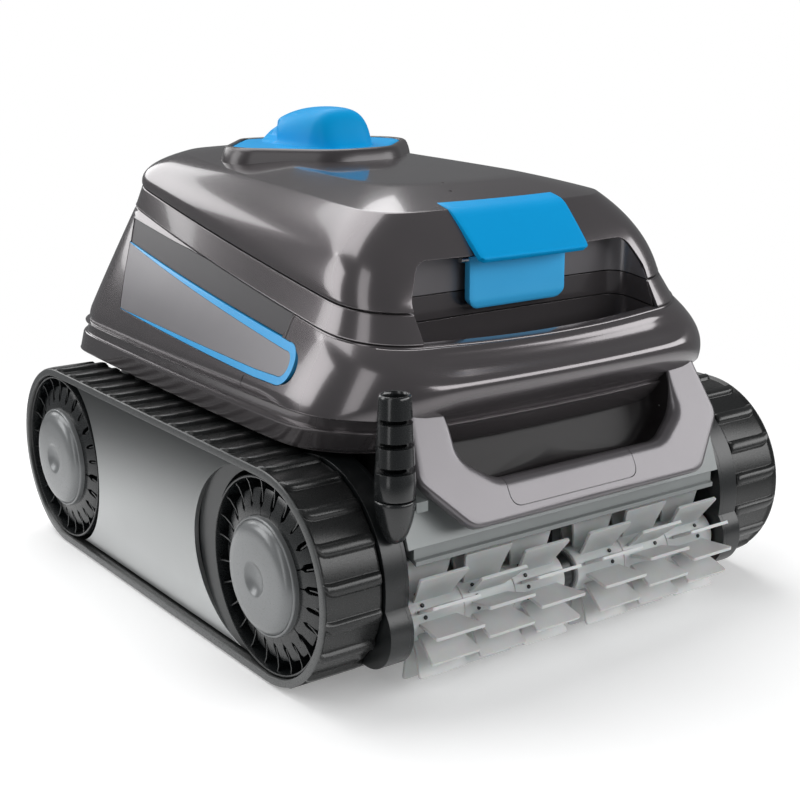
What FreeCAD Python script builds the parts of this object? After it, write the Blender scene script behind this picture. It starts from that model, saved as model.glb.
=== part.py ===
import FreeCAD, Part
import math
import os
import Sketcher

# A tracked pool-cleaning robot.  Millimetres, +Z up, front at -Y, origin under the middle of the machine on the
# pool floor.  "side" is -1 for the machine's left-hand row of pieces (-X) and +1 for the right-hand row (+X).

Vector = FreeCAD.Vector
LEFT_AND_RIGHT = (("left", -1), ("right", 1))
FRONT_AND_REAR = ("front", "rear")

doc = FreeCAD.newDocument("pool_cleaner")
sheet = doc.addObject("Spreadsheet::Sheet", "Sizes")
nodes = {}

# ---------------------------------------------------------------- driving dimensions

SIZES = {
    # running gear
    "front_axle_y": -135.0,
    "rear_axle_y": 150.0,
    "axle_height": 66.0,
    "belt_inner_radius": 59.8,
    "belt_thickness": 3.4,
    "lug_height": 2.8,
    "lug_width": 7.0,
    "lug_count": 44,
    "track_inner": 145.0,
    "track_outer": 185.0,
    # wheels
    "wheel_radius": 59.4,
    "wheel_inner": 147.0,
    "wheel_face": 183.0,
    "wheel_rim_wall": 4.6,
    "web_inner": 168.0,
    "web_outer": 174.0,
    "hub_radius": 20.0,
    "hub_bore": 8.0,
    "cap_radius": 35.6,
    "cap_rim": 188.0,
    "cap_top": 190.5,
    "cap_flat": 27.0,
    "dimple_radius": 10.3,
    "dimple_depth": 3.4,
    # axles
    "axle_radius": 5.0,
    "axle_inner": 124.0,
    "axle_outer": 172.0,
    "running_clearance": 0.06,
    # gears
    "gear_module": 1.25,
    "hub_teeth": 56,
    "brush_teeth": 28,
    "pinion_teeth": 12,
    "tooth_slack": 0.22,
    "gear_inner": 132.0,
    "gear_outer": 140.0,
    "neck_radius": 18.0,
    # side frames and gear covers
    "frame_inner": 122.0,
    "frame_outer": 128.0,
    "back_plate": 2.5,
    "cover_outer": 144.0,
    "cover_radius": 65.0,
    "cover_wall": 2.5,
    "lobe_radius": 24.0,
    "cover_hole": 24.0,
    # flank panels
    "flank_outer": 183.0,
    "flank_skin": 3.0,
    "flank_half_height": 57.5,
    "wheel_gap": 3.0,
    "cutout_radius": 58.5,
    "cutout_offset": 25.0,
    # brush
    "brush_drop": 25.75,
    "brush_reach": 46.0,
    "brush_radius": 37.0,
    "brush_inner": 4.5,
    "brush_outer": 126.5,
    "core_radius": 13.0,
    "blade_thickness": 2.0,
    "blade_rows": 13,
    "shaft_radius": 5.0,
    "brush_clear": 39.5,
    # chassis tray
    "tray_half_width": 122.0,
    "tray_front": -139.0,
    "tray_rear": 196.0,
    "tray_floor": 20.0,
    "tray_top": 134.5,
    "tray_corner": 26.0,
    "wall": 3.0,
    "deck_thickness": 3.0,
    "pinion_hole": 6.0,
    "deck_lap": 4.0,
    "screw_head": 4.0,
    "screw_rise": 2.5,
    "screw_inset": 12.0,
    "screw_spread": 86.0,
    # pump
    "pump_y": 96.0,
    "pump_bore": 37.0,
    "pump_top": 236.0,
    "motor_radius": 34.0,
    "motor_top": 132.0,
    "duct_wall": 3.0,
    "window_half": 22.0,
    "window_sill": 50.0,
    "impeller_hub": 10.0,
    "impeller_height": 26.0,
    "impeller_lift": 4.0,
    "impeller_shaft": 15.5,
    "blade_chord": 28.0,
    "blade_gauge": 2.5,
    "blade_twist": 52.0,
    "drive_motor_radius": 17.0,
    "drive_motor_length": 50.0,
    "impeller_radius": 34.0,
    "impeller_blades": 5,
    "shaft_small": 4.0,
    # filter and inlet
    "filter_half_width": 88.0,
    "filter_front": -78.0,
    "filter_rear": 50.0,
    "filter_bottom": 66.0,
    "filter_top": 196.0,
    "basket_wall": 2.5,
    "basket_sill": 20.0,
    "basket_head": 18.0,
    "basket_window": 50.0,
    "basket_pitch": 57.0,
    "basket_post": 10.0,
    "basket_bar_front": -24.0,
    "basket_bar_rear": -12.0,
    "mesh_gauge": 1.0,
    "mesh_margin": 10.0,
    "duct_gauge": 2.0,
    "duct_rise": 12.0,
    "flap_gauge": 2.0,
    "inlet_half_width": 70.0,
    "inlet_half_depth": 16.0,
    "inlet_y": -16.0,
    # lid
    "hinge_y": 203.0,
    "hinge_z": 243.7,
    "hinge_pin_radius": 2.5,
    "knuckle_radius": 6.0,
    "knuckle_half": 26.0,
    "pin_half": 42.0,
    "arm_middle": 34.0,
    "arm_half": 7.0,
    "arm_drop": 14.0,
    "lid_gap": 0.4,
    "shell_wall": 3.0,
    # finger opening and latch
    "opening_half": 94.0,
    "opening_top_half": 78.0,
    "opening_top": 240.0,
    "opening_back": -131.0,
    "lever_half": 38.5,
    "lever_bottom": 204.5,
    "lever_top": 240.0,
    "lever_y": -137.0,
    "lever_thickness": 5.0,
    "latch_pin_radius": 2.0,
    "latch_pin_half": 44.0,
    "lever_barrel": 3.4,
    "lever_hang": 4.0,
    "cover_half": 46.0,
    # outlet
    "bezel_half": 75.0,
    "bezel_front": 20.0,
    "bezel_rear": 150.0,
    "bezel_bottom": 279.5,
    "bezel_top": 288.0,
    "hood_top": 314.0,
    "hood_half": 36.0,
    "hood_wall": 2.5,
    "throat_wall": 2.5,
    "grille_height": 262.0,
    "grille_depth": 4.0,
    "grille_pitch": 12.0,
    "grille_bar": 2.0,
    # cable boot
    "boot_x": -134.8,
    "boot_y": -196.0,
    "boot_bottom": 119.5,
    "boot_top": 180.0,
    "boot_top_radius": 9.2,
    "boot_bottom_radius": 11.7,
    "boot_bore": 5.5,
    "gland_bottom": 94.3,
    # front plate and grip
    "plate_thickness": 6.0,
    "pocket_depth": 26.0,
    "pocket_wall": 2.5,
    "pad_proud": 0.8,
    "guard_wall": 2.5,
}

# Horizontal sections of the casing, from the skirt up to the lid's crease.  Each is a rounded trapezoid with a
# crowned front edge, on a plane that climbs towards the rear by "slope".
SECTIONS = {
    "skirt": dict(half_front=155, half_rear=150, front=-170, crown=4, rear=214, corner_front=58,
                  corner_rear=36, bulge=2, height=134.5, slope=0),
    "groove": dict(half_front=156.5, half_rear=151, front=-187, crown=4, rear=218, corner_front=60,
                   corner_rear=58, bulge=2, height=157, slope=0),
    "bead": dict(half_front=152, half_rear=142, front=-195, crown=5, rear=211.5, corner_front=63,
                 corner_rear=53, bulge=3, height=173, slope=0.02),
    "seam_low": dict(half_front=134, half_rear=108, front=-178, crown=9, rear=195, corner_front=44,
                     corner_rear=36, bulge=4, height=217.3, slope=0.13),
    "seam_high": dict(half_front=126, half_rear=103, front=-164, crown=5, rear=191, corner_front=38,
                      corner_rear=34, bulge=3, height=232.9, slope=0.13),
    "brow": dict(half_front=116, half_rear=97, front=-150, crown=5, rear=187, corner_front=34,
                 corner_rear=34, bulge=3, height=254, slope=0.09),
    "crease": dict(half_front=94, half_rear=75, front=-128, crown=3, rear=176, corner_front=26,
                   corner_rear=36, bulge=3, height=271.35, slope=0.05),
    "crown": dict(half_front=62, half_rear=42, front=-88, crown=3, rear=148, corner_front=24,
                  corner_rear=28, bulge=3, height=278.4, slope=0.035),
}

for section, values in SECTIONS.items():
    for key, value in values.items():
        SIZES[section + "_" + key] = value

# Sizes that follow from the ones above.
MESH_BACKLASH = 0.15
PINION_BEARING = 40.0
SIZES["brush_y"] = SIZES["front_axle_y"] - SIZES["brush_reach"]
SIZES["brush_z"] = SIZES["axle_height"] - SIZES["brush_drop"]
PINION_DISTANCE = SIZES["gear_module"] * (SIZES["hub_teeth"] + SIZES["pinion_teeth"]) / 2 + MESH_BACKLASH
PINION_ANGLE = math.radians(PINION_BEARING)
SIZES["pinion_y"] = SIZES["front_axle_y"] + PINION_DISTANCE * math.cos(PINION_ANGLE)
SIZES["pinion_z"] = SIZES["axle_height"] + PINION_DISTANCE * math.sin(PINION_ANGLE)

for row, (name, value) in enumerate(SIZES.items(), start=1):
    sheet.set("A%d" % row, name.replace("_", " "))
    sheet.set("B%d" % row, "%.6g" % value)
    sheet.setAlias("B%d" % row, name)
doc.recompute()


def size(name):
    """Value of a cell of the sheet."""
    return float(sheet.get(name))


def bind(item, rules):
    """Bind properties of a document object to expressions on the sheet."""
    for target, rule in rules.items():
        item.setExpression(target, str(rule))


def keep(label, item):
    """Register a finished piece under its own name."""
    item.Label = label
    nodes[label] = item
    return item


# ---------------------------------------------------------------- builders shared by many pieces

def block(label, lengths, corner):
    """Box from its three lengths and its lowest corner, all expressions."""
    item = doc.addObject("Part::Box", label)
    bind(item, {"Length": lengths[0], "Width": lengths[1], "Height": lengths[2]})
    bind(item, {"Placement.Base.x": corner[0], "Placement.Base.y": corner[1], "Placement.Base.z": corner[2]})
    return item


def rod(label, side, radius, near, far, y, z):
    """Cylinder along X from |x| = near to |x| = far on one side of the machine."""
    item = doc.addObject("Part::Cylinder", label)
    item.Placement = FreeCAD.Placement(Vector(0, 0, 0), FreeCAD.Rotation(Vector(0, 1, 0), 90 * side))
    bind(item, {"Radius": radius, "Height": "%s - (%s)" % (far, near)})
    bind(item, {"Placement.Base.x": "%d * (%s)" % (side, near)})
    bind(item, {"Placement.Base.y": y, "Placement.Base.z": z})
    return item


def joined(label, parts):
    """Union of several objects."""
    item = doc.addObject("Part::MultiFuse", label)
    item.Shapes = parts
    item.Refine = True
    return item


def cut(label, base, tools):
    """One object with others taken out of it."""
    tool = tools[0] if len(tools) == 1 else joined(label + "_tools", tools)
    item = doc.addObject("Part::Cut", label)
    item.Base = base
    item.Tool = tool
    item.Refine = True
    return item


def shaped(label, shape):
    """Piece whose free-form shape is set directly."""
    item = doc.addObject("Part::Feature", label)
    item.Shape = shape
    return item


def origin_plane(body, role):
    """Origin plane of a body, by its role."""
    return next(feature for feature in body.Origin.OriginFeatures if feature.Role == role)


def outline_sketch(body, plane, corners):
    """Closed outline on an origin plane; every corner is held by two expressions."""
    sketch = body.newObject("Sketcher::SketchObject", body.Name + "_outline")
    sketch.AttachmentSupport = (origin_plane(body, plane), [""])
    sketch.MapMode = "FlatFace"
    places = [(float(sheet.evalExpression(u)), float(sheet.evalExpression(v))) for u, v in corners]
    count = len(places)
    for index, (u, v) in enumerate(places):
        after = places[(index + 1) % count]
        sketch.addGeometry(Part.LineSegment(Vector(u, v, 0), Vector(after[0], after[1], 0)))
    for index in range(count):
        sketch.addConstraint(Sketcher.Constraint("Coincident", index, 2, (index + 1) % count, 1))
    for index, (u, v) in enumerate(places):
        for kind, value, rule in (("DistanceX", u, corners[index][0]), ("DistanceY", v, corners[index][1])):
            number = sketch.addConstraint(Sketcher.Constraint(kind, -1, 1, index, 1, value))
            sketch.renameConstraint(number, "%s_%d" % (kind, index))
            sketch.setExpression("Constraints.%s_%d" % (kind, index), rule)
    return sketch


def turned(label, corners, side=0, x="0", y="0", z="0"):
    """Body of revolution; corners are (radius, distance along the axis).

    With a side the axis lies along X and distances are measured outwards from the middle of the machine;
    without one it stands upright and distances are heights."""
    body = doc.addObject("PartDesign::Body", label)
    sketch = outline_sketch(body, "XZ_Plane", corners)
    turn = body.newObject("PartDesign::Revolution", label + "_turn")
    turn.Profile = sketch
    turn.ReferenceAxis = (sketch, ["V_Axis"])
    turn.Angle = 360
    body.Tip = turn
    if side:
        body.Placement = FreeCAD.Placement(Vector(0, 0, 0), FreeCAD.Rotation(Vector(0, 1, 0), 90 * side))
    bind(body, {"Placement.Base.x": x, "Placement.Base.y": y, "Placement.Base.z": z})
    return body


# ---------------------------------------------------------------- casing sections and lofts

def section_wire(section, inset=0.0, lift=0.0):
    """Closed outline of one casing section, moved in by inset and up by lift."""
    value = {key: size(section + "_" + key) for key in SECTIONS[section]}
    front_half = value["half_front"] - inset
    rear_half = value["half_rear"] - inset
    front = value["front"] + inset
    rear = value["rear"] - inset
    front_corner = value["corner_front"] - inset
    rear_corner = value["corner_rear"] - inset
    front_end = front_half - front_corner
    rear_end = rear_half - rear_corner
    shoulder = front + value["crown"]
    side_middle = (front_half + rear_half) / 2 + value["bulge"]
    middle_y = (shoulder + front_corner + rear - rear_corner) / 2
    diagonal = math.sqrt(0.5)

    def at(x, y):
        return Vector(x, y, value["height"] + value["slope"] * y + lift)

    def corner(mirror, end, centre_y, radius, forward):
        return at(mirror * (end + radius * diagonal), centre_y + forward * radius * diagonal)

    edges = [Part.Arc(at(-front_end, shoulder), at(0, front), at(front_end, shoulder))]
    front_centre = shoulder + front_corner
    rear_centre = rear - rear_corner
    edges.append(Part.Arc(at(front_end, shoulder), corner(1, front_end, front_centre, front_corner, -1),
                          at(front_half, front_centre)))
    edges.append(Part.Arc(at(front_half, front_centre), at(side_middle, middle_y), at(rear_half, rear_centre)))
    edges.append(Part.Arc(at(rear_half, rear_centre), corner(1, rear_end, rear_centre, rear_corner, 1),
                          at(rear_end, rear)))
    edges.append(Part.LineSegment(at(rear_end, rear), at(-rear_end, rear)))
    edges.append(Part.Arc(at(-rear_end, rear), corner(-1, rear_end, rear_centre, rear_corner, 1),
                          at(-rear_half, rear_centre)))
    edges.append(Part.Arc(at(-rear_half, rear_centre), at(-side_middle, middle_y),
                          at(-front_half, front_centre)))
    edges.append(Part.Arc(at(-front_half, front_centre),
                          corner(-1, front_end, front_centre, front_corner, -1), at(-front_end, shoulder)))
    return Part.Wire([edge.toShape() for edge in edges])


def casing(sections, inset=0.0, lifts=None):
    """Solid lofted through casing sections."""
    lifts = lifts or [0.0] * len(sections)
    wires = [section_wire(section, inset, lift) for section, lift in zip(sections, lifts)]
    return Part.makeLoft(wires, True)


def ring_of(sections, wall, lifts=None):
    """Open shell of even wall, lofted through casing sections."""
    return casing(sections, 0.0, lifts).cut(casing(sections, wall, lifts))


def slab(x, y, z):
    """Plain box from three (low, high) pairs."""
    box = Part.makeBox(x[1] - x[0], y[1] - y[0], z[1] - z[0])
    box.translate(Vector(x[0], y[0], z[0]))
    return box


def prism(points, axis, start, length):
    """Straight prism on a closed polygon of points."""
    face = Part.Face(Part.makePolygon(points + points[:1]))
    solid = face.extrude(axis * length)
    solid.translate(axis * start)
    return solid


def cylinder_x(radius, start, end, y, z):
    """Plain cylinder along X."""
    return Part.makeCylinder(radius, end - start, Vector(start, y, z), Vector(1, 0, 0))


BEYOND = 1.0     # how far a cutting tool runs past the face that it cuts
WIDE = 300.0     # half of a box that takes in the whole machine

COLLAR = ("groove", "bead", "seam_low")
BAND = ("seam_low", "seam_high")
SHELL = ("seam_high", "brow", "crease")
TOP = ("crease", "crown")

HINGE_Y = size("hinge_y")
HINGE_Z = size("hinge_z")
KNUCKLE = size("knuckle_radius")
WALL = size("shell_wall")


# ---------------------------------------------------------------- chassis tray, lower shell and collar

def chassis_tray():
    """Open tub that carries the motors; its floor has the suction slot."""
    half = size("tray_half_width")
    front = size("tray_front")
    rear = size("tray_rear")
    bottom = size("tray_floor")
    top = size("tray_top")
    wall = size("wall")
    tub = slab((-half, half), (front, rear), (bottom, top))
    uprights = [edge for edge in tub.Edges if abs(edge.tangentAt(edge.FirstParameter).z) > 0.9]
    tub = tub.makeFillet(size("tray_corner"), uprights)
    inner = slab((wall - half, half - wall), (front + wall, rear - wall), (bottom + wall, top + BEYOND))
    uprights = [edge for edge in inner.Edges if abs(edge.tangentAt(edge.FirstParameter).z) > 0.9]
    inner = inner.makeFillet(size("tray_corner") - wall, uprights)
    tub = tub.cut(inner)
    slot_half = size("inlet_half_width")
    depth = size("inlet_half_depth")
    slot = slab((-slot_half, slot_half), (size("inlet_y") - depth, size("inlet_y") + depth),
                (bottom - BEYOND, bottom + wall + BEYOND))
    tub = tub.cut(slot)
    for side in (-1, 1):
        near = side * (half - wall - BEYOND)
        far = side * (half + BEYOND)
        tub = tub.cut(cylinder_x(size("pinion_hole"), min(near, far), max(near, far),
                                 size("pinion_y"), size("pinion_z")))
    return tub.cut(cylinder_x(size("brush_clear"), -half - BEYOND, half + BEYOND, size("brush_y"), size("brush_z")))


def lower_shell():
    """Skirt under the collar, with the flat deck that joins it to the tray's rim."""
    skirt = ring_of(("skirt", "groove"), WALL)
    bottom = size("skirt_height")
    top = bottom + size("deck_thickness")
    deck = casing(("skirt", "groove")).common(slab((-WIDE, WIDE), (-WIDE, WIDE), (bottom, top)))
    lap = size("deck_lap")
    half = size("tray_half_width") - lap
    well = slab((-half, half), (size("tray_front") + lap, size("tray_rear") - lap), (bottom - BEYOND, top + BEYOND))
    return skirt.fuse(deck.cut(well)).removeSplitter()


NOSE_RADIUS = 12.0
NOSE_START = -100.0
NOSE_SWEEP = -160.0
NOSE_STEPS = 6


def wing_outline():
    """Side outline of the insert: tall at the rear, narrowing to a rounded nose at the front."""
    nose = Vector(0, -100, 180)
    points = [Vector(0, 164, 233), Vector(0, 124, 177), Vector(0, 116, 173), Vector(0, -76, 168)]
    for step in range(NOSE_STEPS + 1):
        angle = math.radians(NOSE_START + NOSE_SWEEP * step / NOSE_STEPS)
        points.append(nose + Vector(0, NOSE_RADIUS * math.cos(angle), NOSE_RADIUS * math.sin(angle)))
    return points


def wing_prism(shrink):
    """Prism across the machine on the insert's outline, drawn in by shrink."""
    face = Part.Face(Part.makePolygon(wing_outline() + wing_outline()[:1]))
    if shrink:
        face = Part.Face(face.OuterWire.makeOffset2D(-shrink))
    solid = face.extrude(Vector(2 * WIDE, 0, 0))
    solid.translate(Vector(-WIDE, 0, 0))
    return solid


def collar_skin(depth):
    """Outermost layer of the collar, depth thick."""
    return casing(COLLAR).cut(casing(COLLAR, depth))


LEDGE_BOX = ((-98.0, 98.0), (-200.0, -124.0), (150.0, 260.0))
LEDGE_LIFTS = (-4.0, -0.4)


def collar_band(skin, wing):
    """Collar with the rounded front bead, the ledge under the lid's nose and the chassis side of the hinge."""
    ledge = casing(("seam_low", "seam_low"), 0.5, LEDGE_LIFTS).common(slab(*LEDGE_BOX))
    collar = ring_of(COLLAR, WALL).fuse(ledge)
    half = size("arm_half")
    inside = casing(COLLAR, 1.0).fuse(casing(BAND, -1.0))
    for mirror in (-1, 1):
        middle = mirror * size("arm_middle")
        arm = slab((middle - half, middle + half), (190, HINGE_Y), (HINGE_Z - size("arm_drop"), HINGE_Z - 1))
        arm = arm.fuse(cylinder_x(KNUCKLE, middle - half, middle + half, HINGE_Y, HINGE_Z))
        collar = collar.fuse(arm.cut(inside))
    bore = cylinder_x(size("hinge_pin_radius"), -size("pin_half"), size("pin_half"), HINGE_Y, HINGE_Z)
    return collar.cut(bore).cut(skin.common(wing)).removeSplitter()


INSERT_DEPTH = 1.5
STRIPE_WIDTH = 3.2
STRIPE_END = 150.0
wing = wing_prism(0.0)
wing_inner = wing_prism(STRIPE_WIDTH)
skin = collar_skin(INSERT_DEPTH)
insert_layer = skin.common(wing)
stripe_layer = insert_layer.cut(wing_inner).cut(slab((-WIDE, WIDE), (STRIPE_END, WIDE), (0, WIDE)))
insert_layer = insert_layer.cut(stripe_layer)

keep("chassis_tray", shaped("chassis_tray", chassis_tray()))
keep("lower_shell", shaped("lower_shell", lower_shell()))
keep("collar_band", shaped("collar_band", collar_band(skin, wing)))
for word, side in LEFT_AND_RIGHT:
    half_space = slab((0, WIDE) if side > 0 else (-WIDE, 0), (-WIDE, WIDE), (0, WIDE))
    keep("side_insert_" + word, shaped("side_insert_" + word, insert_layer.common(half_space)))
keep("accent_stripes", shaped("accent_stripes", stripe_layer))


GASKET_LIFTS = (-3.4, -0.4)
GASKET_WIDTH = 4.0


def lid_gasket():
    """Soft ring inside the collar's upper edge."""
    ring = casing(("seam_low", "seam_low"), WALL, GASKET_LIFTS)
    hole = casing(("seam_low", "seam_low"), WALL + GASKET_WIDTH, GASKET_LIFTS)
    return ring.cut(hole).cut(slab(*LEDGE_BOX))


keep("lid_gasket", shaped("lid_gasket", lid_gasket()))


# ---------------------------------------------------------------- lid

def opening_prism(grow):
    """Finger opening under the lid's nose, widened by grow."""
    low = size("opening_half") + grow
    high = size("opening_top_half") + grow
    top = size("opening_top") + grow
    foot = 180
    shoulder = 224
    start = -215
    points = [Vector(-low, 0, foot), Vector(low, 0, foot), Vector(low, 0, shoulder), Vector(high, 0, top),
              Vector(-high, 0, top), Vector(-low, 0, shoulder)]
    return prism(points, Vector(0, 1, 0), start, size("opening_back") + grow - start)


def lid_band():
    """Lower rim of the lid, with the lower half of the finger opening and the lid's hinge knuckle."""
    lifts = (size("lid_gap"), 0.0)
    band = ring_of(BAND, WALL, lifts)
    lining = opening_prism(WALL).common(casing(BAND, 0.0, lifts))
    band = band.fuse(lining).cut(opening_prism(0.0))
    half = size("knuckle_half") - 0.5
    arm = slab((-half, half), (186, HINGE_Y), (HINGE_Z + 1, HINGE_Z + 6))
    arm = arm.fuse(cylinder_x(KNUCKLE, -half, half, HINGE_Y, HINGE_Z))
    inside = casing(BAND, 1.0).fuse(casing(COLLAR, -0.5))
    band = band.fuse(arm.cut(inside))
    bore = size("hinge_pin_radius") + size("running_clearance")
    return band.cut(cylinder_x(bore, -size("pin_half"), size("pin_half"), HINGE_Y, HINGE_Z)).removeSplitter()


def lid_shell():
    """Upper casing of the lid from the rim to the crease, open at the nose for the fingers."""
    shell = ring_of(SHELL, WALL)
    lining = opening_prism(WALL).common(casing(SHELL))
    shell = shell.fuse(lining).cut(opening_prism(0.0))
    for mirror in (-1, 1):
        near = mirror * (size("lever_half") + 1)
        far = mirror * size("latch_pin_half")
        ear = slab((min(near, far), max(near, far)), (size("lever_y") - 4, size("opening_back") + BEYOND),
                   (231, size("opening_top") + BEYOND))
        shell = shell.fuse(ear)
    pin_half = size("latch_pin_half")
    pin_z = size("lever_top") - size("lever_hang")
    bore = cylinder_x(size("latch_pin_radius"), -pin_half, pin_half, size("lever_y"), pin_z)
    return shell.cut(bore).removeSplitter()


def throat(step):
    """Round hole through the lid's top, over the pump, narrower than the pump's bore by step."""
    low = 240
    high = 320
    return Part.makeCylinder(size("pump_bore") - step, high - low, Vector(0, size("pump_y"), low))


def top_panel():
    """Crowned panel inside the crease."""
    panel = casing(TOP)
    panel = panel.cut(casing(TOP, 0.0, (-WALL, -WALL)))
    return panel.cut(throat(0))


def bezel_wire(inset, height):
    """Rounded diamond round the outlet at one height."""
    half = size("bezel_half") - inset
    front = size("bezel_front") + inset
    rear = size("bezel_rear") - inset
    waist = (front + rear) / 2
    corners = [(0.34, front), (1.0, waist - 12), (1.0, waist + 12), (0.42, rear)]
    points = [Vector(part * half, y, height) for part, y in corners]
    points += [Vector(-part * half, y, height) for part, y in reversed(corners)]
    wire = Part.makePolygon(points + points[:1])
    return Part.Face(wire).OuterWire


def nozzle_bezel():
    """Raised rim with the throat that meets the pump housing."""
    low = size("bezel_bottom")
    rim = Part.makeLoft([bezel_wire(0, low), bezel_wire(4, size("bezel_top"))], True).cut(casing(TOP))
    tube_foot = 244
    tube_height = size("bezel_top") - 1 - tube_foot
    tube = Part.makeCylinder(size("pump_bore") - 0.2, tube_height, Vector(0, size("pump_y"), tube_foot))
    return rim.fuse(tube).cut(throat(size("throat_wall")))


def hood_wire(y, half, top):
    """Arched cross-section of the outlet hood."""
    base = size("bezel_top")
    return Part.Wire([
        Part.Arc(Vector(-half, y, base), Vector(0, y, top), Vector(half, y, base)).toShape(),
        Part.LineSegment(Vector(half, y, base), Vector(-half, y, base)).toShape(),
    ])


def outlet_hood():
    """Domed hood that turns the jet rearwards; its mouth is at the rear."""
    foot = size("bezel_top")
    rise = size("hood_top") - foot
    half = size("hood_half")
    wall = size("hood_wall")
    stations = [(24, 0.40, 0.35), (40, 0.80, 0.86), (64, 1.0, 1.0), (96, 1.0, 0.98), (138, 0.86, 0.60)]
    outer = [hood_wire(y, half * wide, foot + rise * high) for y, wide, high in stations]
    inner = [hood_wire(y + wall, half * wide - wall, foot + rise * high - wall) for y, wide, high in stations]
    hood = Part.makeLoft(outer, True).cut(Part.makeLoft(inner, True))
    base = Part.makeLoft([bezel_wire(8, foot), bezel_wire(9, foot + 1.6)], True)
    mouth = Part.makeLoft(inner, True)
    mouth.translate(Vector(0, 0, -0.5))
    well = Part.makeCylinder(size("impeller_radius"), 12, Vector(0, size("pump_y"), foot - 6))
    return hood.fuse(base).cut(mouth).cut(well)


def outlet_grille():
    """Bars across the throat, so that no finger reaches the impeller."""
    y = size("pump_y")
    z = size("grille_height")
    depth = size("grille_depth")
    half = size("grille_bar") / 2
    outer = size("pump_bore") - size("throat_wall")
    ring = Part.makeCylinder(outer, depth, Vector(0, y, z))
    ring = ring.cut(Part.makeCylinder(outer - 3, depth, Vector(0, y, z)))
    for step in range(-2, 3):
        x = step * size("grille_pitch")
        reach = math.sqrt((outer - 1) ** 2 - x * x)
        ring = ring.fuse(slab((x - half, x + half), (y - reach, y + reach), (z, z + depth)))
    return ring.removeSplitter()


def latch_cover():
    """Blue cover on the lid's nose: it folds over the crease and hangs over the opening."""
    profile = [Vector(0, -118, 266.4), Vector(0, -129, 266.6), Vector(0, -160.5, 236.5), Vector(0, -156.5, 233.5),
               Vector(0, -127, 262.0), Vector(0, -118, 262.0)]
    cover = prism(profile, Vector(1, 0, 0), -size("cover_half"), 2 * size("cover_half"))
    return cover.cut(casing(SHELL)).cut(casing(TOP))


def lid_floats():
    """Two foam blocks under the lid that keep the machine level in the water."""
    near, far = 64, 88
    length, height = (-70, 30), (236, 262)
    return Part.makeCompound([slab((-far, -near), length, height), slab((near, far), length, height)])


keep("lid_band", shaped("lid_band", lid_band()))
keep("lid_shell", shaped("lid_shell", lid_shell()))
keep("top_panel", shaped("top_panel", top_panel()))
keep("nozzle_bezel", shaped("nozzle_bezel", nozzle_bezel()))
keep("outlet_hood", shaped("outlet_hood", outlet_hood()))
keep("outlet_grille", shaped("outlet_grille", outlet_grille()))
keep("latch_cover", shaped("latch_cover", latch_cover()))
keep("lid_floats", shaped("lid_floats", lid_floats()))
keep("hinge_pin", rod("hinge_pin", 1, "Sizes.hinge_pin_radius", "-Sizes.pin_half", "Sizes.pin_half",
                      "Sizes.hinge_y", "Sizes.hinge_z"))

# Latch lever: a plate that hangs from its pin in front of the opening's back wall.
PIN_Z = "Sizes.lever_top - Sizes.lever_hang"
lever_sheet = block("lever_sheet", ("2*Sizes.lever_half", "Sizes.lever_thickness",
                                    "Sizes.lever_top - Sizes.lever_hang - Sizes.lever_bottom"),
                    ("-Sizes.lever_half", "Sizes.lever_y - Sizes.lever_thickness/2", "Sizes.lever_bottom"))
lever_barrel = rod("lever_barrel", 1, "Sizes.lever_barrel", "-Sizes.lever_half", "Sizes.lever_half",
                   "Sizes.lever_y", PIN_Z)
lever_bore = rod("lever_bore", 1, "Sizes.latch_pin_radius + Sizes.running_clearance",
                 "-Sizes.latch_pin_half", "Sizes.latch_pin_half", "Sizes.lever_y", PIN_Z)
keep("latch_lever", cut("latch_lever", joined("lever_body", [lever_sheet, lever_barrel]), [lever_bore]))
keep("latch_pin", rod("latch_pin", 1, "Sizes.latch_pin_radius", "-Sizes.latch_pin_half", "Sizes.latch_pin_half",
                      "Sizes.lever_y", PIN_Z))


# ---------------------------------------------------------------- front plate and its carrying grip

PLATE_TOP = Vector(0, -183, 157)
PLATE_BOTTOM = Vector(0, -215, 99)
PLATE_THICKNESS = size("plate_thickness")
POCKET_DEPTH = size("pocket_depth")
POCKET_WALL = size("pocket_wall")


def front_frame(across, down, back):
    """Point of the tilted front plate: across, down its face from the top edge, and back from its face."""
    along = (PLATE_BOTTOM - PLATE_TOP).normalize()
    inward = Vector(0, -along.z, along.y)
    return PLATE_TOP + Vector(across, 0, 0) + along * down + inward * back


def front_prism(outline, near, far):
    """Prism square to the front plate's face, between two depths."""
    inward = front_frame(0, 0, 1) - front_frame(0, 0, 0)
    face = Part.Face(Part.makePolygon([front_frame(u, v, near) for u, v in outline + outline[:1]]))
    return face.extrude(inward * (far - near))


FACE_LENGTH = (PLATE_BOTTOM - PLATE_TOP).Length
PLATE_OUTLINE = [(-116, 0), (116, 0), (121.5, 33), (92.7, FACE_LENGTH), (-92.7, FACE_LENGTH), (-121.5, 33)]
GRIP_OUTLINE = [(-88, 3), (88, 3), (82, 26), (62, 40), (-62, 40), (-82, 26)]


def grown(outline, amount):
    """Outline moved outwards, about its own middle."""
    middle = sum(v for u, v in outline) / len(outline)
    return [(u + math.copysign(amount, u), v + math.copysign(amount, v - middle)) for u, v in outline]


def front_plate():
    """Tilted plate over the brush, with the grip's opening and a cut-back for the cable boot."""
    panel = front_prism(PLATE_OUTLINE, 0, PLATE_THICKNESS)
    panel = panel.cut(front_prism(GRIP_OUTLINE, -BEYOND, PLATE_THICKNESS + BEYOND))
    boot = Part.makeCylinder(size("boot_bottom_radius") + 2, 120, Vector(size("boot_x"), size("boot_y"), 80))
    return panel.cut(boot).cut(casing(("groove", "bead"), -0.2)).cut(casing(("skirt", "groove"), -0.2))


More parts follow.
